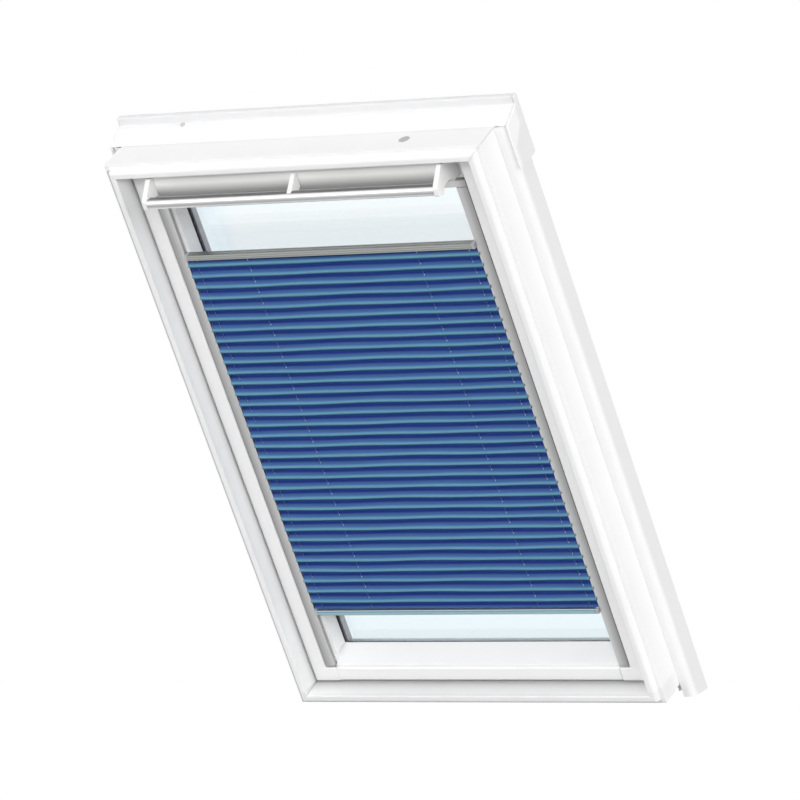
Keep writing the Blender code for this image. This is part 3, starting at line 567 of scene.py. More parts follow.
def tinted(value, share):
    """a colour made lighter or darker by a share, ready for a socket"""
    return (*[min(1.0, part * share) for part in value], 1)


def drifting(tree, pattern, tint, drift):
    """a colour that drifts a little lighter and darker with a pattern"""
    share = ranged(tree, pattern, 0, 1)
    return blended(tree, share, tinted(tint, 1 - drift), tinted(tint, 1 + drift))


def new_finish(name, inputs):
    """a material with its tree and its shader, whose plain sockets are set"""
    material = bpy.data.materials.new(name)
    material.use_nodes = True
    tree = material.node_tree
    shader = tree.nodes["Principled BSDF"]
    for key, value in inputs.items():
        shader.inputs[key].default_value = value
    return material, tree, shader


def surfaced(tree, shader, tone, height, distance, roughness=None, strength=1.0):
    """gives a shader its colour, a raised pattern, and a roughness where that varies"""
    inputs = {"Distance": distance, "Strength": strength, "Height": height}
    bump = wired(tree, "ShaderNodeBump", inputs).outputs["Normal"]
    for key, value in (("Base Color", tone), ("Normal", bump), ("Roughness", roughness)):
        if value is not None:
            tree.links.new(value, shader.inputs[key])


# How strongly shade is painted near the gap round the sash, from 0 to 1
SASH_SIDE_SHADE, FRAME_SIDE_SHADE, SILL_SHADE = 0.28, 0.32, 0.52
LEFT_SIDE_SHADE, UNDERSIDE_SHADE = 0.55, 0.74
RIGHT_SHARE = 0.15
# How far up the slope the sill gives way to the jambs, and the shade's reach on either
SILL_END = (0.0325, 0.034)
SILL_REACH, JAMB_REACH = 0.016, 0.0062


def round_the_sash(tree):
    """how much shade is painted near the gap round the sash: more on the frame than on the sash"""
    p = places(bpy.context.scene.window_sizes)
    x, y, z = on_the_slope(tree)
    across = sums(tree, "SUBTRACT", sums(tree, "ABSOLUTE", x), (p.inner_x + p.sash_x) / 2)
    up = sums(tree, "ABSOLUTE", sums(tree, "SUBTRACT", z, HALF_HEIGHT))
    along = sums(tree, "SUBTRACT", up, (p.inner_z + p.sash_z) / 2)
    past = sums(tree, "MAXIMUM", across, along)
    deep = sums(tree, "SUBTRACT", y, p.sash_face - MOUNT_DEPTH)
    away = sums(tree, "SQRT", sums(tree, "ADD", squared(tree, past), squared(tree, deep)))
    # The shade falls off with the distance from the gap, and reaches further over the sill
    reach = ranged(tree, z, -SILL_REACH, -JAMB_REACH, *SILL_END)
    fade = sums(tree, "EXPONENT", sums(tree, "DIVIDE", away, reach))
    sill = ranged(tree, z, SILL_SHADE, 0, *SILL_END)
    # Light reaches into the gap on the right, so little shade is painted there
    right = ranged(tree, x, 1, RIGHT_SHARE, p.sash_x - 0.020, p.sash_x - 0.008)
    sides = ranged(tree, past, SASH_SIDE_SHADE, FRAME_SIDE_SHADE, -0.001, 0.001)
    most = sums(tree, "MAXIMUM", sums(tree, "MULTIPLY", sides, right), sill)
    # Painted shade on the front of the frame's two outer edges, turned from the light, left and
    # below
    edge = 0.0125 - p.half_width
    left = ranged(tree, x, LEFT_SIDE_SHADE, 0, edge - 0.001, edge + 0.003)
    under = ranged(tree, z, UNDERSIDE_SHADE, 0, 0.008, 0.013)
    front = ranged(tree, y, 1, 0, 0.006 - MOUNT_DEPTH, 0.012 - MOUNT_DEPTH)
    edges = sums(tree, "MULTIPLY", sums(tree, "MAXIMUM", left, under), front)
    return sums(tree, "MAXIMUM", sums(tree, "MULTIPLY", fade, most), edges)


def toward_the_foot(tree):
    """how much shade is painted on the vent flap towards the foot it turns on"""
    foot = places(bpy.context.scene.window_sizes).flap_foot + HALF_HEIGHT
    return ranged(tree, on_the_slope(tree)["Z"], 0.64, 0, foot + 0.013, foot + 0.031)


def round_the_bar(tree):
    """painted dark reflection in a band low on the control bar's front, and painted shade behind"""
    p = places(bpy.context.scene.window_sizes)
    _, y, z = on_the_slope(tree)
    middle = (p.bar_low + p.bar_top) / 2 - 0.0008 + HALF_HEIGHT
    off_band = sums(tree, "ABSOLUTE", sums(tree, "SUBTRACT", z, middle))
    painted_reflection_band = ranged(tree, off_band, 0.52, 0, 0.001, 0.006)
    front = p.bar_front - MOUNT_DEPTH
    return sums(tree, "MAXIMUM", painted_reflection_band, ranged(tree, y, 0, 0.7, front + 0.0035, front + 0.0095))


def behind_the_room_side(tree):
    """0 on the room side of the covers and 1 behind it, which starts further back on the casing"""
    _, y, z = on_the_slope(tree)
    start = ranged(tree, z, 0.084 - MOUNT_DEPTH, 0.117 - MOUNT_DEPTH, 1.129, 1.159)
    return ranged(tree, sums(tree, "SUBTRACT", y, start), 0, 1, 0, 0.010)


def across_the_channel(tree):
    """how much shade is painted on a side channel, from its inner lip out to the stile"""
    p = places(bpy.context.scene.window_sizes)
    out = sums(tree, "ABSOLUTE", on_the_slope(tree)["X"])
    return ranged(tree, out, 0, 0.48, p.channel_in, p.channel_out)


# Painted light up the front of the lower rail and then of the upper one: a share of the way, how
# light the painted shade of the grooves and the painted highlights of the ribs are there, and how
# much they have of the cloth's painted reflection
RAIL_PAINTED_LIGHT = (
    (0.04, 0.86, 0.25), (0.13, 0.89, 0.65), (0.21, 1.09, 0.85), (0.30, 0.79, 1.05),
    (0.39, 0.69, 0.95), (0.47, 1.13, 0.35), (0.52, 0.83, 0.05), (0.60, 0.87, 0.0),
    (0.66, 0.77, 0.0), (0.73, 1.10, 0.0), (0.78, 1.07, 0.0), (0.84, 0.75, 0.0),
    (0.90, 0.96, 0.0), (0.96, 0.78, 0.0),
)


def up_the_rails(tree, metal, glow):
    """the blind's rails with painted light, by the height on the rail"""
    p = places(bpy.context.scene.window_sizes)
    height = on_the_slope(tree)["Z"]
    share = [
        ranged(tree, height, 0, 0.5, low + HALF_HEIGHT, low + p.rail_height + HALF_HEIGHT)
        for low in (p.bottom_rail, p.top_rail)
    ]
    return ramped(tree, sums(tree, "ADD", *share), [
        (place, tinted([own + (lent - own) * part for own, lent in zip(metal, glow)], light))
        for place, light, part in RAIL_PAINTED_LIGHT
    ])


def dull(tree, tone, painted_shade_pattern):
    """a colour darkened by painted shade where a pattern, if there is one, says so"""
    return blended(tree, painted_shade_pattern(tree), tone, (0, 0, 0, 1)) if painted_shade_pattern else tone


def paint(
    name, tint, room_tint=None, roughness=0.34, drift=0.01, grain=900.0, height=0.00002, painted_shade_pattern=None
):
    """paint or moulded plastic: a faint drift of tone and a fine skin

    With a room tint the piece is that colour on its room side, and blends into its own behind.
    """
    material, tree, shader = new_finish(name, {"Roughness": roughness})
    skin = noise(tree, slope_pattern(tree), grain, 2.0)
    tone = drifting(tree, noise(tree, slope_pattern(tree), 6.0), tint, drift)
    if room_tint:
        tone = blended(tree, behind_the_room_side(tree), tinted(room_tint, 1), tone)
    rough = ranged(tree, skin, roughness - 0.05, roughness + 0.05)
    # Where a pattern is given, it paints shade into the tone
    surfaced(tree, shader, dull(tree, tone, painted_shade_pattern), skin, height, rough)
    return material


def brushed(name, tint, glow=None, roughness=0.34, along="x", drift=0.05, painted_shade_pattern=None):
    """drawn metal, with its fine lines along the piece; with a glow, a painted reflection of the
    cloth, it is the blind's rails
    """
    material, tree, shader = new_finish(name, {"Roughness": roughness, "Metallic": 1.0})
    stretch = {"x": (0.02, 1, 1), "z": (1, 1, 0.02)}[along]
    lines = noise(tree, slope_pattern(tree, stretch), 900.0, 2.0)
    if glow:
        tone = up_the_rails(tree, tint, glow)
    else:
        tone = drifting(tree, noise(tree, slope_pattern(tree, stretch), 130.0, 2.0), tint, drift)
    rough = ranged(tree, lines, roughness - 0.06, roughness + 0.08)
    surfaced(tree, shader, dull(tree, tone, painted_shade_pattern), lines, 0.000012, rough)
    return material


def seal_rubber(name, tint):
    """matt rubber with a little dust in its skin"""
    material, tree, shader = new_finish(name, {"Roughness": 0.62})
    dust = noise(tree, slope_pattern(tree), 60.0, 5.0)
    skin = noise(tree, slope_pattern(tree), 1500.0, 1.0)
    dusty = ranged(tree, dust, 0, 1, 0.45, 0.8)
    tone = blended(tree, dusty, tinted(tint, 1.0), tinted(tint, 1.9))
    surfaced(tree, shader, tone, skin, 0.00002, ranged(tree, dust, 0.55, 0.75))
    return material


def spacer_bar(name, tint):
    """the spacer of a double pane: dull metal with rows of breathing holes"""
    material, tree, shader = new_finish(name, {"Roughness": 0.42, "Metallic": 0.8})
    x, _, z = on_the_slope(tree)
    pitch = 2 * pi / 0.004
    across, upward = (
        sums(tree, "COSINE", sums(tree, "MULTIPLY", place, pitch)) for place in (x, z)
    )
    holes = ranged(tree, sums(tree, "ADD", across, upward), 0, 1, 1.55, 1.75)
    metal = drifting(tree, noise(tree, slope_pattern(tree), 80.0), tint, 0.06)
    surfaced(tree, shader, blended(tree, holes, metal, tinted(tint, 0.25)), holes, -0.0002)
    return material


def pane_glass(name, tint):
    """clear glass that lets lamps through, painted bluer lower down and behind the left edge as
    pane shade and reflection
    """
    inputs = {"Roughness": 0.0, "Transmission Weight": 1.0, "IOR": 1.45}
    material, tree, shader = new_finish(name, inputs)
    x, _, z = on_the_slope(tree)
    # Painted shade and reflection: a deeper tint lower down and behind the left edge
    lower = ranged(tree, z, 1, 0, 0.1, 1.0)
    left = ranged(tree, x, 1, 0, -0.255, -0.215)
    deeper = [part * drop for part, drop in zip(tint, (0.955, 0.982, 0.994))]
    tone = blended(tree, sums(tree, "MAXIMUM", lower, left), tinted(tint, 1.0), tinted(deeper, 1.0))
    tree.links.new(tone, shader.inputs["Base Color"])
    shadow = wired(tree, "ShaderNodeLightPath").outputs["Is Shadow Ray"]
    clear = wired(tree, "ShaderNodeBsdfTransparent", {"Color": (0.96, 0.96, 0.96, 1)})
    surface = either(tree, shadow, shader.outputs["BSDF"], clear.outputs["BSDF"])
    show(tree, "OUTPUT_MATERIAL", surface)
    return material


def pleated_cloth(name, crest, face, fold, shade):
    """woven cloth with painted light: a highlight along each fold's crest, shade in the valleys and
    on each underside
    """
    material, tree, shader = new_finish(name, {"Roughness": 0.9, "Specular IOR Level": 0.08})
    height, under = (
        wired(tree, "ShaderNodeAttribute", attribute_name=part).outputs["Fac"]
        for part in ("fold_height", "fold_underside")
    )
    rise = ranged(tree, height, 0, 1, -1, 1)
    # The lit side of a fold, with painted shade in the valley and a painted highlight along the
    # crest
    lit = ramped(tree, rise, (
        (0, tinted(fold, 1.0)), (0.13, tinted(shade, 1.0)), (0.24, tinted(shade, 1.1)),
        (0.35, tinted(face, 0.8)), (0.46, tinted(face, 1.0)), (0.66, tinted(face, 1.15)),
        (0.90, tinted(crest, 1.0)), (1, tinted(crest, 0.95)),
    ))
    # A fold's underside, in painted shade that lightens towards the crest
    painted_underside_shade = ramped(tree, rise, (
        (0, tinted(fold, 1.0)), (0.5, tinted(face, 1.4)), (1, tinted(crest, 1.0)),
    ))
    both = blended(tree, under, lit, painted_underside_shade)
    cloth_map = wired(tree, "ShaderNodeUVMap", uv_map="cloth").outputs["UV"]
    streak = wired(tree, "ShaderNodeMapping", {"Vector": cloth_map, "Scale": (9.0, 260.0, 1.0)})
    slub = noise(tree, streak.outputs["Vector"], 1.0, 4.0)
    soft = blended(tree, ranged(tree, slub, 0, 1), (0.93, 0.93, 0.94, 1), (1.0, 1.0, 1.0, 1))
    tone = blended(tree, 1.0, both, soft, blend_type="MULTIPLY")
    threads = [
        wired(
            tree, "ShaderNodeTexWave",
            {"Vector": cloth_map, "Scale": 560.0, "Distortion": 0.6, "Detail": 1.0},
            wave_type="BANDS", bands_direction=turn,
        ).outputs["Fac"]
        for turn in ("X", "Y")
    ]
    surfaced(tree, shader, tone, sums(tree, "MULTIPLY", *threads), 0.00006, strength=0.6)
    return material


def cord_yarn(name, tint):
    """plaited cord"""
    material, tree, shader = new_finish(name, {"Roughness": 0.7})
    plait = wired(
        tree, "ShaderNodeTexWave", {"Vector": slope_pattern(tree), "Scale": 700.0},
        wave_type="BANDS", bands_direction="DIAGONAL",
    ).outputs["Fac"]
    tone = blended(tree, plait, tinted(tint, 0.8), tinted(tint, 1.15))
    surfaced(tree, shader, tone, plait, 0.0001)
    return material


# For each slot: what makes its finish, the material's name, its colours and its other settings
# Leaving a setting out keeps the maker's own
# A finish's darkening pattern paints shade, and on the control bar a dark reflection, into its
# colour
FINISHES = {
    "frame_white": (
        paint, "white_enamel", ("enamel",),
        {"drift": 0.012, "grain": 420.0, "painted_shade_pattern": round_the_sash},
    ),
    "cover_grey": (
        paint, "cover_paint", ("cover", "enamel"),
        {"roughness": 0.46, "grain": 700.0, "height": 0.00004},
    ),
    "channel_aluminium": (
        brushed, "channel_anodised", ("channel",),
        {"roughness": 0.42, "along": "z", "painted_shade_pattern": across_the_channel},
    ),
    "bright_aluminium": (
        brushed, "bright_anodised", ("bright_metal",), {"roughness": 0.24, "painted_shade_pattern": round_the_bar}
    ),
    "blind_aluminium": (brushed, "blind_anodised", ("blind_metal", "rail_glow"), {}),
    "cream_plastic": (
        paint, "cream_moulding", ("cream",), {"roughness": 0.42, "painted_shade_pattern": toward_the_foot}
    ),
    "white_plastic": (paint, "white_moulding", ("moulding",), {"roughness": 0.32, "drift": 0.008}),
    "grey_plastic": (paint, "grey_moulding", ("cap",), {"roughness": 0.5, "drift": 0.03}),
    "rubber": (seal_rubber, "seal_rubber", ("rubber",), {}),
    "spacer_metal": (spacer_bar, "spacer_bar", ("spacer",), {}),
    "steel": (brushed, "zinc_steel", ("steel",), {"along": "z", "drift": 0.08}),
    "glass": (pane_glass, "pane_glass", ("glass",), {}),
    "blue_fabric": (pleated_cloth, "pleated_cloth", ("crest", "face", "fold", "shade"), {}),
    "cord_blue": (cord_yarn, "cord_yarn", ("cord",), {}),
}
MADE = {}


def finish_of(slot):
    """the material of a slot, made the first time it is asked for"""
    if slot not in MADE:
        make, name, colours, settings = FINISHES[slot]
        tints = bpy.context.scene.window_colours
        MADE[slot] = make(name, *[getattr(tints, tint) for tint in colours], **settings)
    return MADE[slot]


class ROOF_WINDOW_OT_frame(Operator):
    """Makes the four mitred frame members with their rounded nose towards the room"""

    bl_idname = "roof_window.frame"
    bl_label = "Frame"

    def execute(self, context):
        sizes = context.scene.window_sizes
        p = places(sizes)
        near = 0.008
        far = near + sizes.nose_width
        section = [
            (near, 0, sizes.nose_radius), (far, 0, 0.0026), (far, 0.008, 0.003),
            (sizes.frame_wall, p.sash_face, 0.003), (sizes.frame_wall, p.back),
            (p.seat_in, p.back), (p.seat_in, p.seat), (0, p.seat),
            (0, 0.014, 0.0012), (near, 0.014, 0.0012),
        ]
        side = [(p.half_width - corner[0], *corner[1:]) for corner in section]
        end = [(corner[1], p.half_height - corner[0], *corner[2:]) for corner in section]
        low_end = [(corner[0], -corner[1], *corner[2:]) for corner in end]
        plate, wide, long = 0.0015, 0.012, 0.060
        for name, outline, sign in (("right", side, 1), ("left", mirrored(side), -1)):
            jamb = pulled(name + "_jamb", outline, -p.half_height, p.half_height, UPRIGHT, 8)
            for up in (1, -1):
                corner = (sign * p.half_width, 0, up * (p.half_height - MITRE_GAP))
                saw(jamb, corner, (-sign, 0, up))
            cut_out(jamb, block(
                "recess",
                (sign * (p.inner_x + plate + 2 * GAP), PIVOT_DEPTH - wide - GAP, -long - GAP),
                (sign * (p.inner_x - PAST), PIVOT_DEPTH + wide + GAP, long + GAP),
            ))
            settle(jamb, "frame", "frame_white", "frame_jamb_" + name, 0.0006)
        for name, outline, up in (("head", end, 1), ("sill", low_end, -1)):
            member = pulled(name + "_member", outline, -p.half_width, p.half_width, ACROSS, 8)
            for sign in (1, -1):
                corner = (sign * (p.half_width - MITRE_GAP), 0, up * p.half_height)
                saw(member, corner, (sign, 0, -up))
            if name == "head":
                bolt = (p.bolt_x, p.bolt_y)
                cut_out(member, rod(
                    "bolt_hole", 0.005, (*bolt, p.sash_z), (*bolt, p.inner_z + 0.012)
                ))
                cut_out(member, rod(
                    "pocket", PLUG_RADIUS + GAP, (*PLUG, p.half_height - 0.0035),
                    (*PLUG, p.half_height + PAST), 64,
                ))
            settle(member, "frame", "frame_white", "frame_" + name, 0.0006)
        return {"FINISHED"}


class ROOF_WINDOW_OT_frame_fittings(Operator):
    """Makes the pivot plates, the weather seal, the striker plate and the plug in the head"""

    bl_idname = "roof_window.frame_fittings"
    bl_label = "Frame fittings"

    def execute(self, context):
        p = places(context.scene.window_sizes)
        for side in ("right", "left"):
            carry_over(side + "_pivot", "pivot_plate_" + side, "frame", "steel", 0.0003)
        carry_over("weather_seal", "frame_seal", "frame", "rubber", 0.0008, 3)
        carry_over("striker", "striker_plate", "frame", "steel", 0.0002)
        top = p.half_height - 0.0002
        plug = rod("plug", PLUG_RADIUS, (*PLUG, top - 0.003), (*PLUG, top), 64)
        pick(plug)
        bpy.ops.object.mode_set(mode="EDIT")
        choose(plug, "FACE", lambda f: f.normal.z > 0.9)
        bpy.ops.mesh.inset(thickness=0.0018, depth=0)
        bpy.ops.mesh.inset(thickness=0.0012, depth=-0.0009)
        deselect()
        settle(plug, "frame", "grey_plastic", "head_plug", 0.0003)
        return {"FINISHED"}


class ROOF_WINDOW_OT_covers(Operator):
    """Makes the painted sheet covers outside the frame"""

    bl_idname = "roof_window.covers"
    bl_label = "Covers"

    def execute(self, context):
        sizes = context.scene.window_sizes
        p = places(sizes)
        sheet = sizes.sheet
        near = p.half_width - p.seat_in + GAP
        leg = p.inner_x + GAP
        foot = p.back + GAP
        swell = 0.014
        side = [
            (near, p.flange), (p.out, p.cover_front, swell), (p.out, p.cover_back, 0.003),
            (leg, p.cover_back, 0.003), (leg, foot), (leg + sheet, foot),
            (leg + sheet, p.cover_back - sheet, 0.0014),
            (p.out - sheet, p.cover_back - sheet, 0.0014),
            (p.out - sheet, p.cover_front + sheet, swell - sheet), (near, p.flange + sheet),
        ]
        high = p.half_height - p.seat_in
        for name, outline in (("right", side), ("left", mirrored(side))):
            cover = pulled(name + "_cover", outline, p.foot, high, UPRIGHT, 8)
            saw(cover, (0, p.cover_back, p.foot), Vector((0, -1, -3)).normalized())
            settle(cover, "frame", "cover_grey", "side_cover_" + name, 0.0004)
        self.casing(p, sheet)
        self.apron(p, sheet)
        return {"FINISHED"}

    def casing(self, p, sheet):
        """the casing over the head, with its two ends and its screw"""
        foot = p.half_height - p.seat_in + GAP
        lap = p.half_height - 0.044
        inside = p.cover_back + GAP
        rise = (p.knee - foot) / (p.brow - p.cover_front)
        inset = sheet * sqrt(1 + 1 / rise ** 2)
        lining_back, lining_top = p.hood_back - sheet, p.hood_top - sheet
        section = [
            (p.cover_front, foot), (p.brow, p.knee, 0.004), (p.brow, p.hood_top, 0.003),
            (p.hood_back, p.hood_top, 0.003), (p.hood_back, lap, 0.0008), (inside, lap),
            (inside, lap + sheet), (lining_back, lap + sheet), (lining_back, lining_top, 0.0014),
            (p.brow + sheet, lining_top, 0.0014),
            (p.brow + sheet, p.knee + (sheet - inset) * rise, 0.003),
            (p.cover_front + inset, foot),
        ]
        casing = pulled("casing", section, -p.out, p.out, ACROSS, 6)
        settle(casing, "frame", "cover_grey", "top_casing", 0.0003)
        ear = p.hood_top - 0.120
        cheek = [
            (p.cover_front, ear, 0.004), (p.cover_front, foot, 0.004), (p.brow, p.knee, 0.004),
            (p.brow, p.hood_top, 0.003), (p.hood_back, p.hood_top, 0.003),
            (p.hood_back, ear, 0.004),
        ]
        for name, sign in (("right", 1), ("left", -1)):
            near, far = sign * (p.out + GAP), sign * (p.out + 0.004)
            end = pulled(name + "_cheek", cheek, near, far, ACROSS)
            settle(end, "frame", "cover_grey", "casing_end_" + name, 0.0014, 3)
        carry_over("hood_screw", "casing_screw", "frame", "steel", 0.0006, 3)

    def apron(self, p, sheet):
        """the cover below the sill"""
        front = p.back + GAP
        top = -p.inner_z
        hem = p.back - 0.026
        section = [
            (front, top), (front + sheet, top), (front + sheet, p.foot, 0.0025), (hem, p.foot),
            (hem, p.foot + sheet), (front, p.foot + sheet, 0.0012),
        ]
        end = p.inner_x - GAP
        cover = pulled("sill_apron", section, -end, end, ACROSS)
        for sign in (1, -1):
            saw(cover, (sign * (end - 0.032), 0, p.foot), Vector((sign, 0, -1)).normalized())
        settle(cover, "frame", "cover_grey", "sill_cover", 0.0003)


class ROOF_WINDOW_OT_sash(Operator):
    """Makes the two stiles, with the ledge for the blind's channels, and the two rails"""

    bl_idname = "roof_window.sash"
    bl_label = "Sash"

    def execute(self, context):
        sizes = context.scene.window_sizes
        p = places(sizes)
        seat_x = p.glass_x + p.glass_seat
        stile = [
            (p.sash_x, p.sash_face, 0.003), (p.sash_x, p.sash_back), (seat_x, p.sash_back),
            (seat_x, p.seat_y), (p.glass_x, p.seat_y), (p.glass_x, p.sash_face, 0.002),
        ]
        edge_x = p.channel_out + GAP
        lip = 0.0055
        for name, outline, sign in (("right", stile, 1), ("left", mirrored(stile), -1)):
            piece = pulled(name + "_stile", outline, -p.sash_z, p.sash_z, UPRIGHT, 6)
            near, far = sign * (p.glass_x - PAST), sign * edge_x
            cut_out(piece, block(
                "ledge", (near, p.sash_face - PAST, p.rail_face), (far, p.ledge, p.sash_z + PAST)
            ))
            cut_out(piece, block(
                "chamber", (near, p.sash_face - 2 * PAST, p.strip_top + GAP),
                (far, p.chamber, p.sash_z + 2 * PAST),
            ))
            cut_out(piece, rod(
                "bore", 0.0106, (sign * (p.sash_x - 0.012), PIVOT_DEPTH, 0),
                (sign * (p.sash_x + PAST), PIVOT_DEPTH, 0),
            ))
            join_on(piece, block(
                "lip", (sign * (p.glass_x - lip), p.ledge, GAP - p.glass_z),
                (sign * (p.glass_x + PAST), p.seat_y, p.glass_z - GAP),
            ))
            round_edges(piece, 0.0028, 5, lambda v: abs(v.y - p.sash_face) < 0.0001 and (
                abs(abs(v.x) - edge_x) < 0.0001 or abs(v.z - p.rail_face) < 0.0001
            ))
            settle(piece, "sash", "frame_white", "sash_stile_" + name, 0.0002)
        self.rails(p)
        return {"FINISHED"}

    def rails(self, p):
        """the two rails between the stiles"""
        end = p.glass_x - GAP
        step = p.sash_face + 0.004
        seat_z = p.glass_z + p.glass_seat
        bottom = [
            (p.sash_face, -p.sash_z, 0.003), (p.sash_back, -p.sash_z), (p.sash_back, -seat_z),
            (p.seat_y, -seat_z), (p.seat_y, -p.glass_z), (step, p.rail_face + 0.0058, 0.0022),
            (step, p.rail_face), (p.sash_face, p.rail_face, 0.0028),
        ]
        rail = pulled("bottom_rail", bottom, -end, end, ACROSS, 6)
        settle(rail, "sash", "frame_white", "sash_bottom_rail", 0.0002)
        top = [
            (p.ledge, p.glass_z), (p.seat_y, p.glass_z), (p.seat_y, seat_z),
            (p.sash_back, seat_z), (p.sash_back, p.sash_z), (p.chamber, p.sash_z, 0.002),
            (p.chamber, p.strip_top + GAP), (p.ledge, p.strip_top + GAP),
        ]
        rail = pulled("top_rail", top, -end, end, ACROSS)
        settle(rail, "sash", "frame_white", "sash_top_rail", 0.0005)


class ROOF_WINDOW_OT_glazing(Operator):
    """Makes the double pane with its spacer, its edge seal and the gasket it lies on"""

    bl_idname = "roof_window.glazing"
    bl_label = "Glazing"

    def execute(self, context):
        sizes = context.scene.window_sizes
        p = places(sizes)
        for name, node, front in (
            ("room_pane", "inner_pane", p.pane_y), ("sky_pane", "outer_pane", p.outer_pane_y)
        ):
            back = front + sizes.pane
            pane = block(name, (-p.edge_x, front, -p.edge_z), (p.edge_x, back, p.edge_z))
            settle(pane, "sash", "glass", node, 0.0005, 2)
        inside = (p.glass_x - 0.0074, p.glass_z - 0.0008)
        edge = (p.edge_x, p.edge_z)
        gasket = ring("pane_gasket", edge, inside, p.seat_y + GAP, p.pane_y - GAP)
        settle(gasket, "sash", "rubber", "glazing_gasket", 0.0005, 3)
        front = p.pane_y + sizes.pane + GAP
        back = p.outer_pane_y - GAP
        outside = (p.glass_x, p.edge_z - 0.001)
        inside = (p.glass_x - 0.0105, p.glass_z + 0.0128)
        spacer = ring("spacer_frame", outside, inside, front, back)
        settle(spacer, "sash", "spacer_metal", "glass_spacer", 0.0006, 3)
        seal = ring("edge_seal", edge, [reach + GAP for reach in outside], front, back)
        settle(seal, "sash", "rubber", "glass_edge_seal", 0.0004)
        return {"FINISHED"}


class ROOF_WINDOW_OT_sash_covers(Operator):
    """Makes the sheet covers that hold the glass from outside"""

    bl_idname = "roof_window.sash_covers"
    bl_label = "Sash covers"

    def execute(self, context):
        p = places(context.scene.window_sizes)
        for side in ("left", "right", "top", "bottom"):
            cover = copied(side + "_glass_cover", "sash_cover_" + side)
            if side == "bottom":
                lip = Vector((0, 0, -p.glass_z - 0.0135))
                saw(cover, SLOPE @ lip, SLOPE.to_3x3() @ Vector((0, 0, 1)))
            soften(cover, 0.0007, 3)
            stand_for(cover, "sash", "cover_grey", "sash_cover_" + side)
        return {"FINISHED"}


class ROOF_WINDOW_OT_channels(Operator):
    """Makes the channels the blind runs in and the strip over their heads"""

    bl_idname = "roof_window.channels"
    bl_label = "Blind channels"

    def execute(self, context):
        p = places(context.scene.window_sizes)
        wall = 0.0015
        front, back = p.sash_face, p.channel_back
        channel = [
            (p.channel_in, front, 0.0006), (p.channel_out, front, 0.0006), (p.channel_out, back),
            (p.channel_in, back), (p.channel_in, p.slot_back), (p.channel_in + wall, p.slot_back),
            (p.channel_in + wall, back - wall), (p.channel_out - wall, back - wall),
            (p.channel_out - wall, front + wall), (p.channel_in + wall, front + wall),
            (p.channel_in + wall, p.slot_front), (p.channel_in, p.slot_front),
        ]
        for name, outline in (("right", channel), ("left", mirrored(channel))):
            piece = pulled(name + "_channel", outline, p.channel_low, p.channel_top, UPRIGHT)
            settle(piece, "sash", "channel_aluminium", "side_channel_" + name, 0.0002)
        strip = [
            (front, p.strip_low, 0.0008), (back, p.strip_low), (back, p.strip_top),
            (front, p.strip_top, 0.002),
        ]
        piece = pulled("head_strip", strip, -p.channel_out, p.channel_out, ACROSS)
        settle(piece, "sash", "channel_aluminium", "channel_head_strip", 0.0002)
        return {"FINISHED"}


class ROOF_WINDOW_OT_control_bar(Operator):
    """Makes the control bar, the vent flap behind it and the three brackets between them"""

    bl_idname = "roof_window.control_bar"
    bl_label = "Control bar"

    def execute(self, context):
        p = places(context.scene.window_sizes)
        inner = p.handle - 0.0095
        end = inner - GAP
        low, back = p.bar_low - 0.0012, p.bar_back + 0.0045
        bar = [
            (p.bar_front, low, 0.0076), (back, low, 0.004), (back, p.bar_top, 0.004),
            (p.bar_front, p.bar_top, 0.0080),
        ]
        piece = pulled("pull_bar", bar, -end, end, ACROSS, 12)
        settle(piece, "control", "bright_aluminium", "control_bar", 0.0003)
        self.flap(p, end)
        self.brackets(p, inner)
        return {"FINISHED"}

    def flap(self, p, end):
        """the flap, bent at its foot round the bead it turns on"""
        thick, bend, radius = 0.0026, 0.013, 0.010
        top = bend + 0.035 * (p.flap_top - p.flap_bend)
        section = [
            (p.hinge_y, p.flap_foot), (bend, p.flap_bend, radius), (top, p.flap_top, 0.0008),
            (top + thick, p.flap_top, 0.0008), (bend + thick, p.flap_bend + thick, radius - thick),
            (p.hinge_y, p.flap_foot + thick),
        ]
        flap = pulled("vent_cover", section, -end, end, ACROSS, 10)
        hinge = (p.hinge_y, p.hinge_z)
        join_on(flap, rod("bead", 0.0018, (PAST - end, *hinge), (end - PAST, *hinge), 24))
        settle(flap, "control", "cream_plastic", "vent_flap", 0.0002)

    def brackets(self, p, inner):
        """two deep end brackets with an arch under them, and a slim one in the middle"""
        arch, back = p.bar_low + 0.007, 0.0553
        section = [
            (back, p.flap_foot), (back, p.sash_z - 0.004, 0.002), (0.020, p.sash_z + 0.003, 0.004),
            (0.006, p.sash_z + 0.008, 0.003), (p.bar_front, p.bar_top, 0.009),
            (p.bar_front, p.bar_low, 0.003),
            (p.bar_back, p.bar_low - 0.005, 0.002), (p.bar_back + 0.008, arch - 0.002, 0.004),
            (p.bar_back + 0.020, arch, 0.004), (p.hinge_y - 0.010, arch - 0.002, 0.003),
            (p.hinge_y - 0.0036, p.flap_foot, 0.001),
        ]
        for name, low, high in (("right", inner, p.handle), ("left", -p.handle, -inner)):
            bracket = pulled(name + "_bracket", section, low, high, ACROSS, 8)
            settle(bracket, "control", "white_plastic", "bracket_" + name, 0.0016, 4)
        carry_over("middle_bracket", "bracket_middle", "control", "white_plastic", 0.0012, 4)


class ROOF_WINDOW_OT_latch_and_bolt(Operator):
    """Makes the pivot bushes, the latch in its case and the barrel bolt in its own"""

    bl_idname = "roof_window.latch_and_bolt"
    bl_label = "Latch and bolt"

    def execute(self, context):
        for name, node, body, slot, width in (
            ("right_bush", "pivot_bush_right", "sash", "grey_plastic", 0.0003),
            ("left_bush", "pivot_bush_left", "sash", "grey_plastic", 0.0003),
            ("latch_housing", "latch_case", "sash", "steel", 0.0004),
            ("bolt_housing", "bolt_case", "sash", "grey_plastic", 0.0006),
            ("claw_finger", "latch_claw", "claw", "steel", 0.0004),
            ("bolt_shaft", "barrel_bolt", "bolt", "steel", 0.0004),
        ):
            carry_over(name, node, body, slot, width)
        return {"FINISHED"}


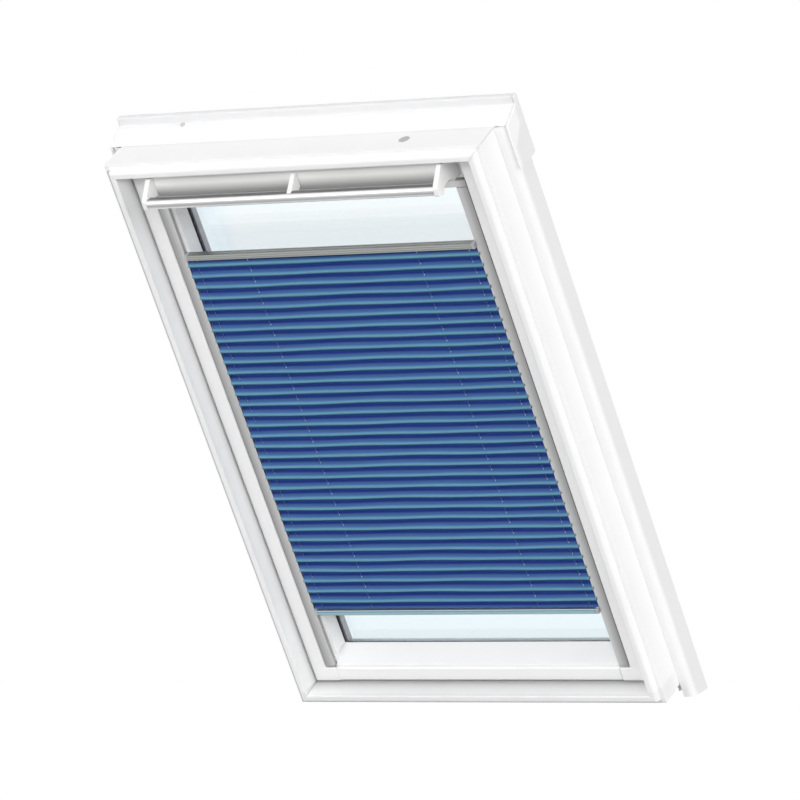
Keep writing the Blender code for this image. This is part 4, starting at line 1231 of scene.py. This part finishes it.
class ROOF_WINDOW_OT_blind_rails(Operator):
    """Makes the blind's two rails and the caps that run in the channels"""

    bl_idname = "roof_window.blind_rails"
    bl_label = "Blind rails"

    def execute(self, context):
        p = places(context.scene.window_sizes)
        end = p.cloth_x - 0.0059
        for piece, name, low in (
            ("upper_rail", "top", p.top_rail), ("lower_rail", "bottom", p.bottom_rail)
        ):
            body, node = "blind_" + name, "blind_" + name + "_rail"
            rail = pulled(piece, self.section(p, low), -end, end, ACROSS)
            settle(rail, body, "bright_aluminium", node, 0.00015, finish="blind_aluminium")
            for side in ("left", "right"):
                node = "blind_" + name + "_rail_cap_" + side
                cap = copied(name + "_cap_" + side, node)
                self.thin_tongue(p, cap, 1 if side == "right" else -1, low)
                soften(cap, 0.0006, 3)
                stand_for(cap, body, "grey_plastic", node)
        return {"FINISHED"}

    def thin_tongue(self, p, cap, sign, low):
        """leaves a blade of a cap's tongue, which runs in the channel's slot"""
        inner, outer = sign * (p.channel_in - GAP), sign * p.channel_out
        play = 0.0004
        for near, far in (
            (p.rail_front - PAST, p.slot_front + play), (p.slot_back - play, p.ledge + PAST)
        ):
            cut_out(cap, on_slope(block(
                "beside_blade", (inner, near, low - 0.02), (outer, far, low + 0.03)
            )))

    def section(self, p, low):
        """two grooves down the front of a rail and two along its top"""
        high = low + p.rail_height
        front, deep, wide, corner = p.rail_front, 0.0008, 0.0012, 0.0012
        points = [(front, low, corner)]
        for z in (low + 0.0034, low + 0.0067):
            points += [
                (front, z, 0.0002), (front + deep, z), (front + deep, z + wide),
                (front, z + wide, 0.0002),
            ]
        points.append((front, high, corner))
        for y in (front + 0.0034, front + 0.0106):
            points += [(y, high), (y, high - deep), (y + wide, high - deep), (y + wide, high)]
        return points + [(p.rail_back, high, corner), (p.rail_back, low, corner)]


# Where one fold is given a row of points, as shares of the way from its crest to the next
FOLD_ROWS = (
    0.0, 0.02, 0.05, 0.10, 0.20, 0.30, 0.40, 0.45, 0.48, 0.5, 0.52, 0.55, 0.60, 0.70, 0.80, 0.90,
    0.95, 0.98,
)
# How sharp a crease is, where 1 is a plain zigzag
CREASE = 0.965
# The small waves along the folds: their height, how close they are, and their shift each fold
WAVES = ((0.00030, 31.0, 2.1), (0.00022, 17.0, -1.3))
# How far a fold bows between the inner cords
BOW = 0.00035
COLUMNS = 44


def fold_height(turn):
    """1 on a crest, -1 in a valley, with the crease a little rounded"""
    return asin(CREASE * cos(2 * pi * turn)) / asin(CREASE)


def fold_underside(turn):
    """1 on the underside of a fold, which runs from a crest down to the valley below it"""
    share = turn % 1.0
    edge = 0.035
    if share > 1 - edge or share < edge:
        near = share if share < 0.5 else share - 1
        return 0.5 + near / (2 * edge)
    if abs(share - 0.5) < edge:
        return 0.5 - (share - 0.5) / (2 * edge)
    return 1.0 if share < 0.5 else 0.0


def new_mesh(name, verts, faces):
    """a piece made of points and faces"""
    mesh = bpy.data.meshes.new(name)
    mesh.from_pydata(verts, [], faces)
    piece = bpy.data.objects.new(name, mesh)
    bpy.context.scene.collection.objects.link(piece)
    return piece


class ROOF_WINDOW_OT_pleated_cloth(Operator):
    """Makes the pleated cloth with the holes its cords run through, and the four cords"""

    bl_idname = "roof_window.pleated_cloth"
    bl_label = "Pleated cloth"

    def execute(self, context):
        sizes = context.scene.window_sizes
        p = places(sizes)
        high = p.top_rail - GAP
        low = p.bottom_rail + p.rail_height + GAP
        outer = p.cloth_x - 0.018
        cords_at = (-outer, -INNER_CORD, INNER_CORD, outer)
        cloth, run = self.cloth(sizes, p, high, low, cords_at)
        settle(cloth, "blind_top", "blue_fabric", "pleated_fabric")
        cords = []
        for number, x in enumerate(cords_at, start=1):
            cord = self.cord("cord_" + str(number), x, p.cord_y, low, high, sizes.cord / 2)
            cords.append(settle(cord, "blind_top", "cord_blue", "pleat_cord_" + str(number)))
        for piece in (cloth, *cords):
            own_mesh(piece)
        return {"FINISHED"}

    def rows(self, sizes, high, low):
        """the folds from the top down: height on the slope, and turns past the first crest"""
        start = (sizes.first_crest - high) / sizes.pleat_pitch
        stop = (sizes.first_crest - low) / sizes.pleat_pitch
        turns = [start]
        for fold in range(-1, sizes.pleats + 1):
            turns += [
                fold + share for share in FOLD_ROWS if start + 0.01 < fold + share < stop - 0.01
            ]
        turns.append(stop)
        return [(sizes.first_crest - turn * sizes.pleat_pitch, turn) for turn in turns]

    def columns(self, sizes, p, cords_at):
        """places across the cloth, with two at each cord for the edges of its holes"""
        half = sizes.cord_hole / 2
        edges = [x + side for x in cords_at for side in (-half, half)]
        even = [p.cloth_x * (2 * step / COLUMNS - 1) for step in range(COLUMNS + 1)]
        clear = [
            x for x in even if all(abs(x - edge) > 0.003 for edge in edges) or abs(x) == p.cloth_x
        ]
        return sorted(clear + edges)

    def cloth(self, sizes, p, high, low, cords_at):
        """the sheet, fold by fold, with its own map and how it is folded as attributes"""
        rows = self.rows(sizes, high, low)
        columns = self.columns(sizes, p, cords_at)
        middle = p.rail_back - 0.0006 - 0.0002 - sizes.pleat_depth / 2 - 0.0006
        verts, heights, unders, spots = [], [], [], []
        run = 0.0
        last = None
        for z, turn in rows:
            lift = fold_height(turn)
            y = middle - lift * sizes.pleat_depth / 2
            if last is not None:
                run += sqrt((z - last[0]) ** 2 + (y - last[1]) ** 2)
            last = (z, y)
            ends = min(1.0, (high - z) / 0.03, (z - low) / 0.03)
            over = sizes.crest_reach * min(1.0, max(0.0, (p.sash_face - 0.0010 - y) / 0.0020))
            for x in columns:
                sway = sum(size * sin(close * x + shift * turn) for size, close, shift in WAVES)
                bow = BOW * cos(pi * x / INNER_CORD)
                past = over if x > p.cloth_x - 0.0001 else 0.0
                verts.append((x + past, y + sway * ends * 0.5, z + (sway + bow) * ends))
                heights.append(lift)
                unders.append(fold_underside(turn))
                spots.append((x, run))
        wide = len(columns)
        holes = {index for index, x in enumerate(columns[:-1]) if any(
            abs((x + columns[index + 1]) / 2 - spot) < 0.0005 for spot in cords_at
        )}
        faces = []
        for row in range(len(rows) - 1):
            share = ((rows[row][1] + rows[row + 1][1]) / 2) % 0.5
            for column in range(wide - 1):
                if column in holes and abs(share - 0.25) < 0.03:
                    continue
                corner = row * wide + column
                faces.append((corner, corner + wide, corner + wide + 1, corner + 1))
        piece = new_mesh("pleats", verts, faces)
        mesh = piece.data
        for name, values in (("fold_height", heights), ("fold_underside", unders)):
            mesh.attributes.new(name, "FLOAT", "POINT").data.foreach_set("value", values)
        cloth_map = mesh.uv_layers.new(name="cloth")
        for loop in mesh.loops:
            cloth_map.data[loop.index].uv = spots[loop.vertex_index]
        modify(piece, "thickness", "SOLIDIFY", thickness=sizes.cloth, offset=0)
        bpy.ops.object.shade_smooth_by_angle(angle=radians(60))
        return piece, run

    def cord(self, name, x, y, low, high, radius):
        """a cord of three strands twisted together, each going round once in a lay's length"""
        lay, sides, hollow = 0.008, 9, 0.14
        rings = int((high - low) / lay * 6)
        verts = []
        for step in range(rings + 1):
            z = low + (high - low) * step / rings
            for side in range(sides):
                angle = 2 * pi * side / sides
                strand = cos(3 * (angle - 2 * pi * (z - low) / lay))
                reach = radius * (1 - hollow + hollow * strand)
                verts.append((x + reach * cos(angle), y + reach * sin(angle), z))
        faces = [tuple(range(sides))[::-1], tuple(range(rings * sides, (rings + 1) * sides))]
        for step in range(rings):
            for side in range(sides):
                after = (side + 1) % sides
                here, there = step * sides, (step + 1) * sides
                faces.append((here + side, here + after, there + after, there + side))
        piece = new_mesh(name, verts, faces)
        pick(piece)
        bpy.ops.object.shade_smooth_by_angle(angle=radians(60))
        return piece


class ROOF_WINDOW_OT_stage(Operator):
    """Sets the floor, the lamps, the white surroundings and the camera"""

    bl_idname = "roof_window.stage"
    bl_label = "Stage"

    def execute(self, context):
        self.floor()
        self.surroundings(context.scene)
        self.lamps()
        self.camera(context.scene)
        context.scene.view_settings.view_transform = "Standard"
        return {"FINISHED"}

    def seen_ray(self, tree):
        """1 for rays that only look: from the camera, off metal and through glass"""
        ray = wired(tree, "ShaderNodeLightPath").outputs
        looks = sums(tree, "MAXIMUM", ray["Is Camera Ray"], ray["Is Glossy Ray"])
        return sums(tree, "MAXIMUM", looks, ray["Is Transmission Ray"])

    def floor(self):
        """a wide floor well below the window, white to look at and duller to the lamps"""
        deselect()
        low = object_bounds()[0].z - FLOOR_DROP
        bpy.ops.mesh.primitive_plane_add(size=600, location=(0, 0, low))
        floor = bpy.context.object
        floor.name = "floor"
        floor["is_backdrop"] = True
        material, tree, shader = new_finish("studio_floor", {
            "Base Color": (FLOOR_TONE, FLOOR_TONE, FLOOR_TONE, 1), "Roughness": 1.0,
            "Specular IOR Level": 0.0,
        })
        lit = wired(tree, "ShaderNodeBsdfDiffuse", {"Color": (1, 1, 1, 1)}).outputs["BSDF"]
        glow = wired(tree, "ShaderNodeEmission", {"Strength": FLOOR_SHINE}).outputs["Emission"]
        shown = either(tree, FLOOR_GLOW, lit, glow)
        surface = either(tree, self.seen_ray(tree), shader.outputs["BSDF"], shown)
        show(tree, "OUTPUT_MATERIAL", surface)
        floor.data.materials.append(material)

    def surroundings(self, scene):
        """soft light from all round; plain white to look at"""
        world = bpy.data.worlds.new("studio")
        scene.world = world
        world.use_nodes = True
        tree = world.node_tree
        soft, white = (
            wired(tree, "ShaderNodeBackground", {"Color": (1, 1, 1, 1), "Strength": strength})
            for strength in (WORLD_LIGHT, 1.0)
        )
        show(tree, "OUTPUT_WORLD", either(
            tree, self.seen_ray(tree), soft.outputs["Background"], white.outputs["Background"]
        ))

    def lamps(self):
        """broad lamps far off, so that the light is the same all over"""
        for name, toward, strength, spread in LAMPS:
            deselect()
            bpy.ops.object.light_add(type="SUN", location=(0, 0, 3))
            lamp = bpy.context.object
            lamp.name = name
            lamp.rotation_euler = Vector(toward).to_track_quat("Z", "Y").to_euler()
            lamp.data.energy = strength
            lamp.data.angle = radians(spread)

    def camera(self, scene):
        """a long lens from the right, a little below the middle of the window"""
        turn, rise = radians(CAMERA_TURN), radians(CAMERA_RISE)
        back = Vector((sin(turn) * cos(rise), -cos(turn) * cos(rise), sin(rise)))
        deselect()
        bpy.ops.object.camera_add(
            location=CAMERA_PLACE, rotation=(-back).to_track_quat("-Z", "Y").to_euler()
        )
        camera = bpy.context.object
        camera.name = "camera"
        camera.data.sensor_width = 36.0
        camera.data.lens = CAMERA_LENS
        camera.data.clip_start = 0.1
        camera.data.clip_end = 900.0
        scene.camera = camera


PIECE_OPERATORS = (
    ROOF_WINDOW_OT_frame,
    ROOF_WINDOW_OT_frame_fittings,
    ROOF_WINDOW_OT_covers,
    ROOF_WINDOW_OT_sash,
    ROOF_WINDOW_OT_glazing,
    ROOF_WINDOW_OT_sash_covers,
    ROOF_WINDOW_OT_channels,
    ROOF_WINDOW_OT_control_bar,
    ROOF_WINDOW_OT_latch_and_bolt,
    ROOF_WINDOW_OT_blind_rails,
    ROOF_WINDOW_OT_pleated_cloth,
    ROOF_WINDOW_OT_stage,
)


class ROOF_WINDOW_PT_panel(Panel):
    """Lists the window's sizes, its colours and the steps that make it"""

    bl_idname = "ROOF_WINDOW_PT_panel"
    bl_label = "Roof window"
    bl_space_type = "VIEW_3D"
    bl_region_type = "UI"
    bl_category = "Roof window"

    def draw(self, context):
        scene = context.scene
        for title, group in (("Sizes", scene.window_sizes), ("Colours", scene.window_colours)):
            box = self.layout.box()
            box.label(text=title)
            for name in type(group).__annotations__:
                box.prop(group, name)
        column = self.layout.column(align=True)
        for step in PIECE_OPERATORS:
            column.operator(step.bl_idname)


CLASSES = (WindowSizes, WindowColours, *PIECE_OPERATORS, ROOF_WINDOW_PT_panel)


def register():
    for item in CLASSES:
        bpy.utils.register_class(item)
    bpy.types.Scene.window_sizes = PointerProperty(type=WindowSizes)
    bpy.types.Scene.window_colours = PointerProperty(type=WindowColours)


def unregister():
    del bpy.types.Scene.window_colours
    del bpy.types.Scene.window_sizes
    for item in reversed(CLASSES):
        bpy.utils.unregister_class(item)


def main():
    """makes the window piece by piece"""
    register()
    make = bpy.ops.roof_window
    make.frame()
    make.frame_fittings()
    make.covers()
    make.sash()
    make.glazing()
    make.sash_covers()
    make.channels()
    make.control_bar()
    make.latch_and_bolt()
    make.blind_rails()
    make.pleated_cloth()
    make.stage()
    deselect()


if __name__ == "__main__":
    main()
